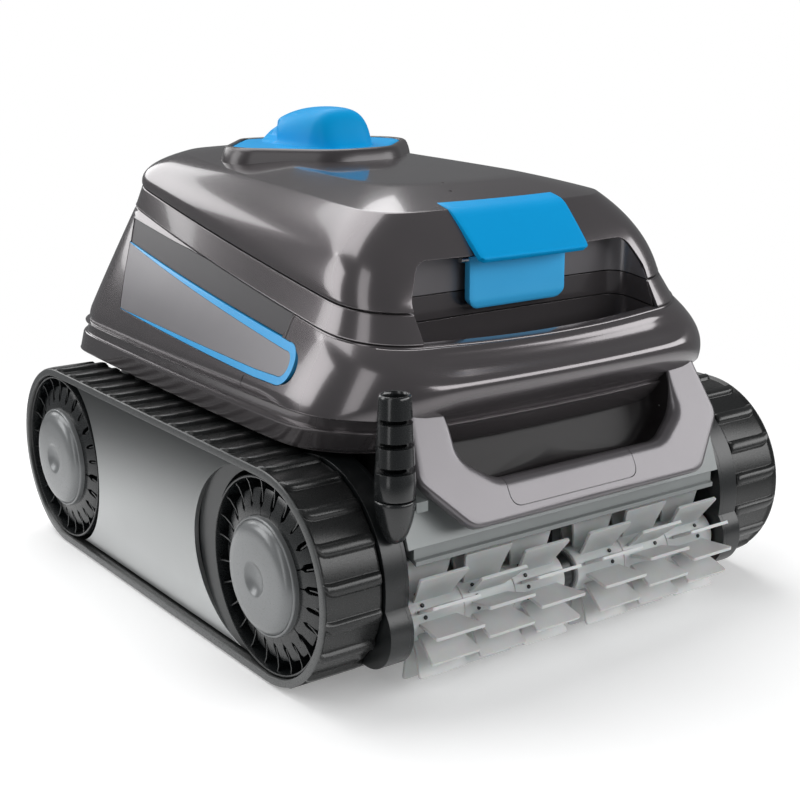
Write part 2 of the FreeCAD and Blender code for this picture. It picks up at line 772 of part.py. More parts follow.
def handle_pocket():
    """Tub behind the plate that takes the fingers."""
    outer = front_prism(grown(GRIP_OUTLINE, POCKET_WALL), PLATE_THICKNESS, POCKET_DEPTH + POCKET_WALL)
    tub = outer.cut(front_prism(GRIP_OUTLINE, -BEYOND, POCKET_DEPTH))
    return tub.cut(casing(("skirt", "groove", "bead"), -0.2))


def grip_insert():
    """Soft pad on the lower lip of the opening, where the fingers hold."""
    outline = [(-60, 41), (38, 41), (38, 52), (31, 59), (-53, 59), (-60, 52)]
    return front_prism(outline, -size("pad_proud"), 0)


def brush_hood():
    """Splash guard round the top of the brush, the apron in front of it and the arm that holds the gland."""
    y = size("brush_y")
    z = size("brush_z")
    half = size("frame_inner") - 0.3
    clear = size("brush_clear") + 1.5
    guard = cylinder_x(clear + size("guard_wall"), -half, half, y, z)
    guard = guard.cut(cylinder_x(clear, -half - BEYOND, half + BEYOND, y, z))
    guard = guard.common(slab((-half, half), (y - 17, size("tray_front") - 0.3), (z + 20, z + 60)))
    top = size("skirt_height")
    foot = 88
    apron_half = size("brush_outer")
    profile = [Vector(0, -180, top), Vector(0, -197.5, foot), Vector(0, -194.8, foot), Vector(0, -177.3, top)]
    apron = prism(profile, Vector(1, 0, 0), -apron_half, 2 * apron_half)
    link = slab((-half, half), (-196, y + 4), (z + clear, foot + 2.5))
    link = link.cut(cylinder_x(clear + 1, -half - BEYOND, half + BEYOND, y, z))
    arm = slab((-134, -118), (-204, -182), (112, 118))
    boot = Part.makeCylinder(size("boot_bottom_radius") + 0.05, 40, Vector(size("boot_x"), size("boot_y"), 100))
    hood = guard.fuse([apron, link, arm.cut(boot)])
    pocket = front_prism(grown(GRIP_OUTLINE, 3), -5, POCKET_DEPTH + 3)
    return hood.cut(pocket).cut(front_prism(PLATE_OUTLINE, -1, PLATE_THICKNESS + 0.3)).removeSplitter()


keep("front_plate", shaped("front_plate", front_plate()))
keep("handle_pocket", shaped("handle_pocket", handle_pocket()))
keep("grip_insert", shaped("grip_insert", grip_insert()))
keep("brush_hood", shaped("brush_hood", brush_hood()))

# ---------------------------------------------------------------- cable boot and gland

keep("cable_boot", turned("cable_boot", [
    ("Sizes.boot_bore", "Sizes.boot_bottom"), ("Sizes.boot_bottom_radius", "Sizes.boot_bottom"),
    ("Sizes.boot_bottom_radius", "Sizes.boot_bottom + 12"), ("Sizes.boot_top_radius", "Sizes.boot_top - 1"),
    ("Sizes.boot_top_radius - 1", "Sizes.boot_top"), ("Sizes.boot_bore", "Sizes.boot_top"),
], x="Sizes.boot_x", y="Sizes.boot_y"))
keep("cable_gland", turned("cable_gland", [
    ("0", "Sizes.gland_bottom"), ("2.2", "Sizes.gland_bottom + 0.5"), ("5.2", "Sizes.gland_bottom + 7"),
    ("8", "Sizes.gland_bottom + 11"), ("10.4", "Sizes.gland_bottom + 16"),
    ("Sizes.boot_bottom_radius - 0.2", "Sizes.gland_bottom + 21"), ("Sizes.boot_bottom_radius", "Sizes.boot_bottom"),
    ("0", "Sizes.boot_bottom"),
], x="Sizes.boot_x", y="Sizes.boot_y"))


# ---------------------------------------------------------------- tracks

def track_wire(radius, lugs):
    """Outline of a belt round the two wheels; with lugs it stands out at each crossbar."""
    front = size("front_axle_y")
    rear = size("rear_axle_y")
    z = size("axle_height")
    if not lugs:
        up = Vector(0, 0, radius)
        front_centre = Vector(0, front, z)
        rear_centre = Vector(0, rear, z)
        edges = [Part.LineSegment(front_centre + up, rear_centre + up),
                 Part.Arc(rear_centre + up, rear_centre + Vector(0, radius, 0), rear_centre - up),
                 Part.LineSegment(rear_centre - up, front_centre - up),
                 Part.Arc(front_centre - up, front_centre - Vector(0, radius, 0), front_centre + up)]
        return Part.Wire([edge.toShape() for edge in edges])
    straight = rear - front
    bend = math.pi * radius
    total = 2 * (straight + bend)
    pitch = total / size("lug_count")
    half = size("lug_width") / 2
    height = size("lug_height")

    def along(distance, rise):
        distance %= total
        if distance < straight:
            return Vector(0, front + distance, z + radius + rise)
        distance -= straight
        if distance < bend:
            turn = distance / radius
            return Vector(0, rear + (radius + rise) * math.sin(turn), z + (radius + rise) * math.cos(turn))
        distance -= bend
        if distance < straight:
            return Vector(0, rear - distance, z - radius - rise)
        turn = (distance - straight) / radius
        return Vector(0, front - (radius + rise) * math.sin(turn), z - (radius + rise) * math.cos(turn))

    points = []
    for index in range(int(size("lug_count"))):
        middle = index * pitch
        points.append(along(middle - half - 1, 0))
        points.append(along(middle - half, height))
        points.append(along(middle, height))
        points.append(along(middle + half, height))
        points.append(along(middle + half + 1, 0))
        points.append(along(middle + pitch / 2, 0))
    return Part.makePolygon(points + points[:1])


def track(side):
    """Endless rubber belt with crossbars; its inner face is smooth."""
    outer_radius = size("belt_inner_radius") + size("belt_thickness")
    outer = Part.Face(track_wire(outer_radius, True))
    inner = Part.Face(track_wire(size("belt_inner_radius"), False))
    width = size("track_outer") - size("track_inner")
    belt = outer.cut(inner).extrude(Vector(width, 0, 0))
    belt.translate(Vector(size("track_inner") if side > 0 else -size("track_outer"), 0, 0))
    return belt


for word, side in LEFT_AND_RIGHT:
    keep("track_" + word, shaped("track_" + word, track(side)))


# ---------------------------------------------------------------- wheels, caps, axles

def wheel(label, side, axle_y):
    """Moulded wheel: rim, web and hub, turned in one piece."""
    rim = "Sizes.wheel_radius - Sizes.wheel_rim_wall"
    return keep(label, turned(label, [
        ("Sizes.hub_bore + Sizes.running_clearance", "Sizes.wheel_inner"), ("Sizes.hub_radius", "Sizes.wheel_inner"),
        ("Sizes.hub_radius", "Sizes.web_inner"), (rim, "Sizes.web_inner"), (rim, "Sizes.wheel_inner"),
        ("Sizes.wheel_radius", "Sizes.wheel_inner"), ("Sizes.wheel_radius", "Sizes.wheel_face"),
        (rim, "Sizes.wheel_face"), ("Sizes.wheel_radius - 9", "Sizes.web_outer + 1.5"),
        ("Sizes.cap_radius", "Sizes.web_outer + 8"), ("Sizes.cap_radius", "Sizes.web_outer"),
        ("Sizes.hub_bore + Sizes.running_clearance", "Sizes.web_outer"),
    ], side, y=axle_y, z="Sizes.axle_height"))


def hub_cap(label, side, axle_y):
    """Domed cap with a dimple at its middle."""
    return keep(label, turned(label, [
        ("0", "Sizes.web_outer"), ("Sizes.cap_radius", "Sizes.web_outer"),
        ("Sizes.cap_radius", "Sizes.cap_rim - 2"), ("Sizes.cap_radius - 2.5", "Sizes.cap_rim"),
        ("Sizes.cap_flat", "Sizes.cap_rim + 1"), ("Sizes.dimple_radius", "Sizes.cap_top"),
        ("Sizes.dimple_radius * 0.8", "Sizes.cap_top - Sizes.dimple_depth * 0.6"),
        ("Sizes.dimple_radius * 0.4", "Sizes.cap_top - Sizes.dimple_depth * 0.93"),
        ("0", "Sizes.cap_top - Sizes.dimple_depth"),
    ], side, y=axle_y, z="Sizes.axle_height"))


axles = []
sleeves = []
for place in FRONT_AND_REAR:
    axle_y = "Sizes.%s_axle_y" % place
    for word, side in LEFT_AND_RIGHT:
        corner = "%s_%s" % (place, word)
        wheel("wheel_" + corner, side, axle_y)
        hub_cap("hub_cap_" + corner, side, axle_y)
        axles.append(rod("axle_" + corner, side, "Sizes.axle_radius", "Sizes.axle_inner", "Sizes.axle_outer",
                         axle_y, "Sizes.axle_height"))
        outside = rod("sleeve_skin_" + corner, side, "Sizes.hub_bore", "Sizes.cover_outer - 13",
                      "Sizes.axle_outer", axle_y, "Sizes.axle_height")
        inside = rod("sleeve_bore_" + corner, side, "Sizes.axle_radius", "Sizes.cover_outer - 14",
                     "Sizes.axle_outer + 1", axle_y, "Sizes.axle_height")
        sleeves.append(cut("sleeve_" + corner, outside, [inside]))


def gathered(label, parts):
    """Group of separate solids in one node."""
    item = doc.addObject("Part::Compound", label)
    item.Links = parts
    return keep(label, item)


gathered("wheel_axles", axles)
gathered("axle_sleeves", sleeves)


# ---------------------------------------------------------------- gears

PRESSURE_ANGLE = 20.0
ADDENDUM = 0.92
DEDENDUM = 1.3


def gear_shape(teeth, bore, side, y, z, turn):
    """Involute spur gear between the two gear planes; turn is its angle about +X in degrees."""
    module = size("gear_module")
    pitch_radius = module * teeth / 2
    base_radius = pitch_radius * math.cos(math.radians(PRESSURE_ANGLE))
    tip_radius = pitch_radius + ADDENDUM * module
    root_radius = pitch_radius - DEDENDUM * module
    half_tooth = math.pi / (2 * teeth) - size("tooth_slack") / (2 * pitch_radius)
    start_radius = max(base_radius, root_radius)

    def involute(radius):
        pressure = math.acos(min(1.0, base_radius / radius))
        return math.tan(pressure) - pressure

    at_pitch = involute(pitch_radius)
    flank = [start_radius + (tip_radius - start_radius) * share for share in (0.0, 0.35, 0.7, 1.0)]
    points = []
    for index in range(int(teeth)):
        middle = 2 * math.pi * index / teeth + math.radians(turn)
        rising = [(radius, middle - half_tooth - at_pitch + involute(radius)) for radius in flank]
        falling = [(radius, 2 * middle - angle) for radius, angle in reversed(rising)]
        foot = [(root_radius, rising[0][1])]
        heel = [(root_radius, falling[-1][1])]
        for radius, angle in foot + rising + falling + heel:
            points.append(Vector(0, y + radius * math.cos(angle), z + radius * math.sin(angle)))
    face = Part.Face(Part.makePolygon(points + points[:1]))
    width = size("gear_outer") - size("gear_inner")
    solid = face.extrude(Vector(width, 0, 0))
    start = size("gear_inner") if side > 0 else -size("gear_outer")
    solid.translate(Vector(start, 0, 0))
    if bore:
        solid = solid.cut(cylinder_x(bore, start - BEYOND, start + width + BEYOND, y, z))
    return solid


def span(side, near, far):
    """Start and end along X of something between two distances from the middle."""
    return (near, far) if side > 0 else (-far, -near)


AXLE_Y = size("front_axle_y")
AXLE_Z = size("axle_height")
BRUSH_Y = size("brush_y")
BRUSH_Z = size("brush_z")
HUB_TEETH = int(size("hub_teeth"))
BRUSH_TEETH = int(size("brush_teeth"))
PINION_TEETH = int(size("pinion_teeth"))


PINION_SHAFT = 3.0


def meshing_turn(teeth, driver_teeth, line_angle):
    """Angle that puts a gap of this gear opposite a tooth of its driver along the line between their axes."""
    driver_pitch = 360.0 / driver_teeth
    into_driver = (line_angle / driver_pitch) % 1.0
    own_pitch = 360.0 / teeth
    return line_angle + 180.0 + own_pitch * (0.5 + into_driver)


def hub_gear(side):
    """Large gear with the neck that carries it on the front wheel."""
    clearance = size("running_clearance")
    bore = size("hub_bore") + clearance
    gear = gear_shape(HUB_TEETH, bore, side, AXLE_Y, AXLE_Z, 0)
    start, end = span(side, size("gear_outer"), size("wheel_inner"))
    neck = cylinder_x(size("neck_radius"), start, end, AXLE_Y, AXLE_Z)
    neck = neck.cut(cylinder_x(bore, start - BEYOND, end + BEYOND, AXLE_Y, AXLE_Z))
    return gear.fuse(neck)


def drive_pinion(side):
    """Small gear on the drive motor's shaft, in one piece with the shaft."""
    y = size("pinion_y")
    z = size("pinion_z")
    line = math.degrees(math.atan2(z - AXLE_Z, y - AXLE_Y))
    turn = meshing_turn(PINION_TEETH, HUB_TEETH, line)
    gear = gear_shape(PINION_TEETH, 0, side, y, z, turn)
    start, end = span(side, size("tray_half_width") - 10, size("gear_inner"))
    return gear.fuse(cylinder_x(PINION_SHAFT, start, end, y, z))


def brush_core(side):
    """Roller with its shaft and its gear, moulded in one."""
    line = math.degrees(math.atan2(BRUSH_Z - AXLE_Z, BRUSH_Y - AXLE_Y))
    turn = meshing_turn(BRUSH_TEETH, HUB_TEETH, line)
    gear = gear_shape(BRUSH_TEETH, 0, side, BRUSH_Y, BRUSH_Z, turn)
    start, end = span(side, size("brush_inner"), size("brush_outer"))
    roller = cylinder_x(size("core_radius"), start, end, BRUSH_Y, BRUSH_Z)
    start, end = span(side, 0.5, size("gear_inner"))
    shaft = cylinder_x(size("shaft_radius"), start, end, BRUSH_Y, BRUSH_Z)
    return gear.fuse([roller, shaft]).removeSplitter()


COLUMNS = ((8.0, 44.0), (47.0, 83.0), (86.0, 122.0))
SLEEVE_WALL = 2.0


def brush_blades(side):
    """Rows of flat blades round a thin sleeve; each column is turned by half a row from its neighbour."""
    rows = int(size("blade_rows"))
    thick = size("blade_thickness")
    start, end = span(side, size("brush_inner") + 1, size("brush_outer"))
    sleeve = cylinder_x(size("core_radius") + SLEEVE_WALL, start, end, BRUSH_Y, BRUSH_Z)
    blades = []
    for number, (near, far) in enumerate(COLUMNS):
        low, high = span(side, near, far)
        blade = slab((low, high), (-size("brush_radius"), -size("core_radius") - 1), (-thick / 2, thick / 2))
        for row in range(rows):
            one = blade.copy()
            one.rotate(Vector(0, 0, 0), Vector(1, 0, 0), 360.0 * (row + 0.5 * (number % 2)) / rows)
            one.translate(Vector(0, BRUSH_Y, BRUSH_Z))
            blades.append(one)
    body = sleeve.fuse(blades)
    return body.cut(cylinder_x(size("core_radius"), start - BEYOND, end + BEYOND, BRUSH_Y, BRUSH_Z))


for word, side in LEFT_AND_RIGHT:
    keep("hub_gear_" + word, shaped("hub_gear_" + word, hub_gear(side)))
    keep("drive_pinion_" + word, shaped("drive_pinion_" + word, drive_pinion(side)))
    keep("brush_core_" + word, shaped("brush_core_" + word, brush_core(side)))
    keep("brush_blades_" + word, shaped("brush_blades_" + word, brush_blades(side)))


def brush_bearing():
    """Ring between the two half brushes, hung from the brush hood."""
    half = 3.5
    radius = 12
    ring = cylinder_x(radius, -half, half, BRUSH_Y, BRUSH_Z)
    hanger = slab((-half, half), (BRUSH_Y, BRUSH_Y + 8), (BRUSH_Z, BRUSH_Z + size("brush_clear") + 1.5))
    bore = cylinder_x(size("shaft_radius") + size("running_clearance"), -half - BEYOND, half + BEYOND,
                      BRUSH_Y, BRUSH_Z)
    return ring.fuse(hanger).cut(bore).cut(nodes["brush_hood"].Shape).removeSplitter()


keep("brush_bearing", shaped("brush_bearing", brush_bearing()))


# ---------------------------------------------------------------- side frames, gear covers, flank panels

def drum(grow, side, near, far):
    """Disc round the front axle joined to a smaller one round the brush axis."""
    start, end = span(side, near, far)
    wide = cylinder_x(size("cover_radius") + grow, start, end, AXLE_Y, AXLE_Z)
    return wide.fuse(cylinder_x(size("lobe_radius") + grow, start, end, BRUSH_Y, BRUSH_Z))


def gear_cover(side):
    """Cup over the gears, with a hole for the hub gear's neck."""
    inner = size("frame_outer") + size("back_plate")
    outer = size("cover_outer")
    wall = size("cover_wall")
    cup = drum(0, side, inner, outer).cut(drum(-wall, side, inner - BEYOND, outer - wall))
    start, end = span(side, outer - wall - BEYOND, outer + BEYOND)
    return cup.cut(cylinder_x(size("cover_hole"), start, end, AXLE_Y, AXLE_Z))


def flank_block(side, near, far, front_y, front_radius):
    """Body between the wheels inside the belt, hollowed round each wheel."""
    start, end = span(side, near, far)
    z = size("axle_height")
    half = size("flank_half_height")
    rear = size("rear_axle_y")
    core = slab((start, end), (front_y, rear), (z - half, z + half))
    low, high = start - BEYOND, end + BEYOND
    core = core.cut(cylinder_x(size("wheel_radius") + size("wheel_gap"), low, high, rear, z))
    return core.cut(cylinder_x(front_radius, low, high, front_y, z))


BOSS_RADIUS = 40.0
FRAME_WALL = 3.0
BRIDGE_HALF = 30.0
SHAFT_PLAY = 0.3


def side_frame(side):
    """Structural side of the chassis: web, axle bosses, gear back plate and the black frame inside the belt."""
    z = size("axle_height")
    front = size("front_axle_y")
    rear = size("rear_axle_y")
    near = size("frame_inner")
    far = size("frame_outer")
    start, end = span(side, near, far)
    web = slab((start, end), (front, rear), (z - BOSS_RADIUS, z + size("flank_half_height")))
    for place in FRONT_AND_REAR:
        web = web.fuse(cylinder_x(BOSS_RADIUS, start, end, size(place + "_axle_y"), z))
    web = web.cut(cylinder_x(size("brush_clear"), start - BEYOND, end + BEYOND, BRUSH_Y, BRUSH_Z))
    shaft = size("shaft_radius") + size("running_clearance")
    back = drum(0, side, far, far + size("back_plate"))
    back = back.cut(cylinder_x(shaft, *span(side, far - BEYOND, far + size("back_plate") + BEYOND), BRUSH_Y, BRUSH_Z))
    wheel_clear = size("wheel_radius") + size("wheel_gap")
    skin = size("flank_outer") - size("flank_skin")
    frame = flank_block(side, size("cover_outer"), skin, front, wheel_clear)
    hollow = flank_block(side, size("cover_outer") + FRAME_WALL, skin - FRAME_WALL, front, wheel_clear + FRAME_WALL)
    z_low = z - size("flank_half_height") + FRAME_WALL
    z_high = z + size("flank_half_height") - FRAME_WALL
    frame = frame.cut(hollow.common(slab((-WIDE, WIDE), (-WIDE, WIDE), (z_low, z_high))))
    bridge = slab(span(side, far, size("cover_outer")),
                  (front + size("cover_radius") + 4, rear - size("cover_radius") - 1),
                  (z - BRIDGE_HALF, z + BRIDGE_HALF))
    frame = web.fuse([back, frame, bridge])
    for place in FRONT_AND_REAR:
        frame = frame.cut(cylinder_x(size("axle_radius"), *span(side, size("axle_inner"), far + 20),
                                     size(place + "_axle_y"), z))
    shaft_hole = cylinder_x(PINION_SHAFT + SHAFT_PLAY, *span(side, near - BEYOND, far + 20),
                            size("pinion_y"), size("pinion_z"))
    return frame.cut(shaft_hole).removeSplitter()


for word, side in LEFT_AND_RIGHT:
    keep("side_frame_" + word, shaped("side_frame_" + word, side_frame(side)))
    keep("gear_cover_" + word, shaped("gear_cover_" + word, gear_cover(side)))
    panel = flank_block(side, size("flank_outer") - size("flank_skin"), size("flank_outer"),
                        size("front_axle_y") + size("cutout_offset"), size("cutout_radius"))
    keep("flank_panel_" + word, shaped("flank_panel_" + word, panel))


# ---------------------------------------------------------------- motors, pump, filter, inlet

def drive_motor(side):
    """Geared motor inside the tray, in line with its pinion."""
    inner = size("tray_half_width") - size("wall")
    y = size("pinion_y")
    z = size("pinion_z")
    face = inner - size("wall")
    can = cylinder_x(size("drive_motor_radius"), *span(side, face - size("drive_motor_length"), face), y, z)
    socket_depth = 5
    return can.cut(cylinder_x(PINION_SHAFT + 0.1, *span(side, face - socket_depth, face + BEYOND), y, z))


keep("drive_motors", shaped("drive_motors", Part.makeCompound([drive_motor(-1), drive_motor(1)])))

keep("pump_motor", turned("pump_motor", [
    ("0", "Sizes.tray_floor + Sizes.wall"), ("Sizes.motor_radius", "Sizes.tray_floor + Sizes.wall"),
    ("Sizes.motor_radius", "Sizes.motor_top - 8"), ("Sizes.motor_radius - 8", "Sizes.motor_top"),
    ("Sizes.shaft_small + Sizes.running_clearance", "Sizes.motor_top"),
    ("Sizes.shaft_small + Sizes.running_clearance", "Sizes.motor_top - 12"), ("0", "Sizes.motor_top - 12"),
], y="Sizes.pump_y"))


def pump_housing():
    """Round duct over the motor; its foot is open to the filter side."""
    y = size("pump_y")
    outer = size("pump_bore") + size("duct_wall")
    base = size("tray_floor") + size("wall")
    tube = Part.makeCylinder(outer, size("pump_top") - base, Vector(0, y, base))
    tube = tube.cut(Part.makeCylinder(size("pump_bore"), size("pump_top"), Vector(0, y, 0)))
    half = size("window_half")
    sill = base + size("window_sill")
    return tube.cut(slab((-half, half), (y - outer - BEYOND, y), (sill, size("motor_top") + size("impeller_lift"))))


def impeller():
    """Screw impeller: hub, shaft and twisted blades."""
    y = size("pump_y")
    low = size("motor_top") + size("impeller_lift")
    height = size("impeller_height")
    length = size("impeller_shaft")
    hub = Part.makeCylinder(size("impeller_hub"), height, Vector(0, y, low))
    shaft = Part.makeCylinder(size("shaft_small"), length, Vector(0, y, low - length))
    count = int(size("impeller_blades"))
    chord = size("blade_chord") / 2
    gauge = size("blade_gauge") / 2
    blades = []
    for index in range(count):
        blade = slab((size("impeller_hub") - 2, size("impeller_radius")), (-gauge, gauge), (-chord, chord))
        blade.rotate(Vector(0, 0, 0), Vector(1, 0, 0), size("blade_twist"))
        blade.rotate(Vector(0, 0, 0), Vector(0, 0, 1), 360.0 * index / count)
        blade.translate(Vector(0, y, low + height / 2))
        blades.append(blade)
    return hub.fuse([shaft] + blades)


def filter_canister():
    """Basket with windowed walls, a moulded handle bar across the top and an inlet hole in its floor."""
    half = size("filter_half_width")
    front = size("filter_front")
    rear = size("filter_rear")
    low = size("filter_bottom")
    top = size("filter_top")
    wall = size("basket_wall")
    basket = slab((-half, half), (front, rear), (low, top))
    basket = basket.cut(slab((wall - half, half - wall), (front + wall, rear - wall), (low + wall, top + BEYOND)))
    heights = (low + size("basket_sill"), top - size("basket_head"))
    window_half = size("basket_window") / 2
    for step in (-1, 0, 1):
        x = step * size("basket_pitch")
        basket = basket.cut(slab((x - window_half, x + window_half), (front - BEYOND, rear + BEYOND), heights))
    post = size("basket_post")
    basket = basket.cut(slab((-half - BEYOND, half + BEYOND), (front + post, rear - post), heights))
    depth = size("inlet_half_depth")
    inlet = size("inlet_half_width")
    middle = size("inlet_y")
    hole = slab((-inlet, inlet), (middle - depth, middle + depth), (low - BEYOND, low + wall + BEYOND))
    bar = slab((wall - half, half - wall), (size("basket_bar_front"), size("basket_bar_rear")), (top - 8, top - 3))
    return basket.cut(hole).fuse(bar)


def filter_mesh():
    """Fine mesh that lines the windows, as a thin closed sleeve."""
    wall = size("basket_wall")
    gauge = size("mesh_gauge")
    half = size("filter_half_width") - wall
    front = size("filter_front") + wall
    rear = size("filter_rear") - wall
    low = size("filter_bottom") + size("mesh_margin")
    top = size("filter_top") - size("mesh_margin")
    sleeve = slab((-half, half), (front, rear), (low, top))
    return sleeve.cut(slab((gauge - half, half - gauge), (front + gauge, rear - gauge), (low - BEYOND, top + BEYOND)))


def inlet_duct():
    """Rectangular duct from the suction slot up through the basket's floor."""
    half = size("inlet_half_width")
    depth = size("inlet_half_depth")
    y = size("inlet_y")
    low = size("tray_floor")
    top = size("filter_bottom") + size("duct_rise")
    wall = size("duct_gauge")
    duct = slab((-half, half), (y - depth, y + depth), (low, top))
    inside = ((wall - half, half - wall), (y + wall - depth, y + depth - wall), (low - BEYOND, top + BEYOND))
    return duct.cut(slab(*inside))


def inlet_flap():
    """Flap that lies on the duct's mouth and lifts with the flow."""
    half = size("inlet_half_width") - 1
    depth = size("inlet_half_depth")
    y = size("inlet_y")
    gauge = size("flap_gauge")
    low = size("filter_bottom") + size("duct_rise") + 0.3
    leaf = slab((-half, half), (y - depth, y + depth), (low, low + gauge))
    return leaf.fuse(cylinder_x(gauge, -half, half, y + depth + 0.5, low + gauge))


keep("pump_housing", shaped("pump_housing", pump_housing()))
keep("impeller", shaped("impeller", impeller()))
keep("filter_canister", shaped("filter_canister", filter_canister()))
keep("filter_mesh", shaped("filter_mesh", filter_mesh()))
keep("inlet_duct", shaped("inlet_duct", inlet_duct()))
keep("inlet_flap", shaped("inlet_flap", inlet_flap()))


def casing_screws():
    """Screws that hold the tray up to the lower shell's deck, heads under the tray's corners."""
    inset = size("screw_inset")
    rise = size("screw_rise")
    screws = []
    for x in (-size("screw_spread"), 0, size("screw_spread")):
        for y in (size("tray_front") + inset, size("tray_rear") - inset):
            screws.append(Part.makeCylinder(size("screw_head"), rise, Vector(x, y, size("tray_floor") - rise)))
    return Part.makeCompound(screws)


keep("casing_screws", shaped("casing_screws", casing_screws()))

# ---------------------------------------------------------------- check and write

doc.recompute()
for item in doc.Objects:
    if "Invalid" in item.State or "Error" in item.State:
        raise RuntimeError("%s did not build: %s" % (item.Label, item.State))

os.makedirs("parts", exist_ok=True)
for label, item in nodes.items():
    shape = item.Shape
    if shape.isNull() or not shape.isValid():
        raise RuntimeError("%s has no valid shape" % label)
    shape.exportStep("parts/%s.step" % label)
    print("%-22s %3d solids %12.1f mm3" % (label, len(shape.Solids), shape.Volume))
print(len(nodes), "nodes")
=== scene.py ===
import math

import bmesh
import bpy
import numpy as np
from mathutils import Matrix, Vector


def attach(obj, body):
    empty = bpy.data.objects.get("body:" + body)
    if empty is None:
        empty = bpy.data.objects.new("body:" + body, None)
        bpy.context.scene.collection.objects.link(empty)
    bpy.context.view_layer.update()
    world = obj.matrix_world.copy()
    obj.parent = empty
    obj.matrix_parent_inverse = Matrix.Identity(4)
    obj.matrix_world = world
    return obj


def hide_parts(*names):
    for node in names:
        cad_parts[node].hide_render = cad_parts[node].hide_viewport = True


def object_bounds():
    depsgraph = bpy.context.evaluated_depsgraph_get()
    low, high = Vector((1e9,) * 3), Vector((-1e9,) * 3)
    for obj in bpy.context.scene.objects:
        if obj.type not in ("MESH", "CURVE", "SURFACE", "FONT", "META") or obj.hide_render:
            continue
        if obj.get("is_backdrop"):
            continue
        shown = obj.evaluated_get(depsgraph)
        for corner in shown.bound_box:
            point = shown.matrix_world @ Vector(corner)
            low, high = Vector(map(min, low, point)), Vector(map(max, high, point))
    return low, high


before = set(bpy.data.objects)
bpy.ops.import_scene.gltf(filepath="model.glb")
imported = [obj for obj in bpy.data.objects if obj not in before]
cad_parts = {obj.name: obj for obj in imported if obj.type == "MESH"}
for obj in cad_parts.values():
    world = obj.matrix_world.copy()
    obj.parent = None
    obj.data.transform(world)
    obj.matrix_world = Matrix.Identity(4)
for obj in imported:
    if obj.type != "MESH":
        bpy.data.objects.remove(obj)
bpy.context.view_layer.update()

# ---------------------------------------------------------------- casing: lid, collar and skirt
# The casing is injection-moulded ABS in a dark bronze grey with a fine metallic flake and a glossy skin.
# Each part is a thin shell drawn through rounded outlines, with its rims rounded over so that the joints
# between parts catch light.

MM = 0.001
HALF_FRONT, HALF_REAR, FRONT, CROWN, REAR, CORNER_FRONT, CORNER_REAR, BULGE, HEIGHT, SLOPE = range(10)
OUTLINES = {
    "skirt": (155, 150, -170, 4, 214, 58, 36, 2, 134.5, 0),
    "groove": (156.5, 151, -187, 4, 218, 60, 58, 2, 157, 0),
    "bead": (152, 142, -195, 5, 211.5, 63, 53, 3, 173, 0.02),
    "seam_low": (134, 108, -178, 9, 195, 44, 36, 4, 217.3, 0.13),
    "seam_high": (126, 103, -164, 5, 191, 38, 34, 3, 232.9, 0.13),
    "brow": (116, 97, -150, 5, 187, 34, 34, 3, 254, 0.09),
    "crease": (94, 75, -128, 3, 176, 26, 36, 3, 271.35, 0.05),
    "crown": (62, 42, -88, 3, 148, 24, 28, 3, 278.4, 0.035),
}
OUTLINES = {name: np.array(values, float) for name, values in OUTLINES.items()}
WALL = 3.0
FRONT_STEPS, CORNER_STEPS, SIDE_STEPS, REAR_STEPS = 30, 22, 70, 20
KINK_PASSES = 14


def ring(values, inset=0.0, lift=0.0):
    """Closed outline of the casing, an N x 3 array in mm that starts at the middle of the front."""
    values = np.array(values, float)
    values[[HALF_FRONT, HALF_REAR, CORNER_FRONT, CORNER_REAR, REAR]] -= inset
    values[FRONT] += inset
    half_front, half_rear, front, crown, rear, corner_front, corner_rear, bulge, height, slope = values
    end_front, end_rear = half_front - corner_front, half_rear - corner_rear
    middle_front, middle_rear = front + crown + corner_front, rear - corner_rear
    t = np.arange(FRONT_STEPS) / FRONT_STEPS
    half = [np.stack([end_front * t, front + crown * t * t], 1)]
    t = np.arange(CORNER_STEPS) / CORNER_STEPS * math.pi / 2
    half.append(np.stack([end_front + corner_front * np.sin(t), middle_front - corner_front * np.cos(t)], 1))
    t = np.arange(SIDE_STEPS) / SIDE_STEPS
    wide = half_front * (1 - t) + half_rear * t + 4 * bulge * t * (1 - t)
    half.append(np.stack([wide, middle_front * (1 - t) + middle_rear * t], 1))
    t = np.arange(CORNER_STEPS) / CORNER_STEPS * math.pi / 2
    half.append(np.stack([end_rear + corner_rear * np.cos(t), middle_rear + corner_rear * np.sin(t)], 1))
    t = np.arange(REAR_STEPS + 1) / REAR_STEPS
    half.append(np.stack([end_rear * (1 - t), np.full_like(t, rear)], 1))
    right = np.concatenate(half)
    flat = np.concatenate([right, right[-2:0:-1] * (-1, 1)])
    for _ in range(KINK_PASSES):
        flat = flat * 0.5 + (np.roll(flat, 1, 0) + np.roll(flat, -1, 0)) * 0.25
    return np.column_stack([flat, height + slope * flat[:, 1] + lift])


def through(keys, places, t):
    """Values at t on the smooth curve through two or three sets of values."""
    total = 0.0
    for key, place in zip(keys, places):
        weight = 1.0
        for other in places:
            if other != place:
                weight *= (t - other) / (place - other)
        total = total + weight * key
    return total


def mesh_object(name, points, faces):
    """Object at the origin from points in mm."""
    mesh = bpy.data.meshes.new(name)
    mesh.from_pydata([tuple(point) for point in np.asarray(points, float) * MM], [], faces)
    mesh.validate()
    made = bpy.data.objects.new(name, mesh)
    bpy.context.scene.collection.objects.link(made)
    return made


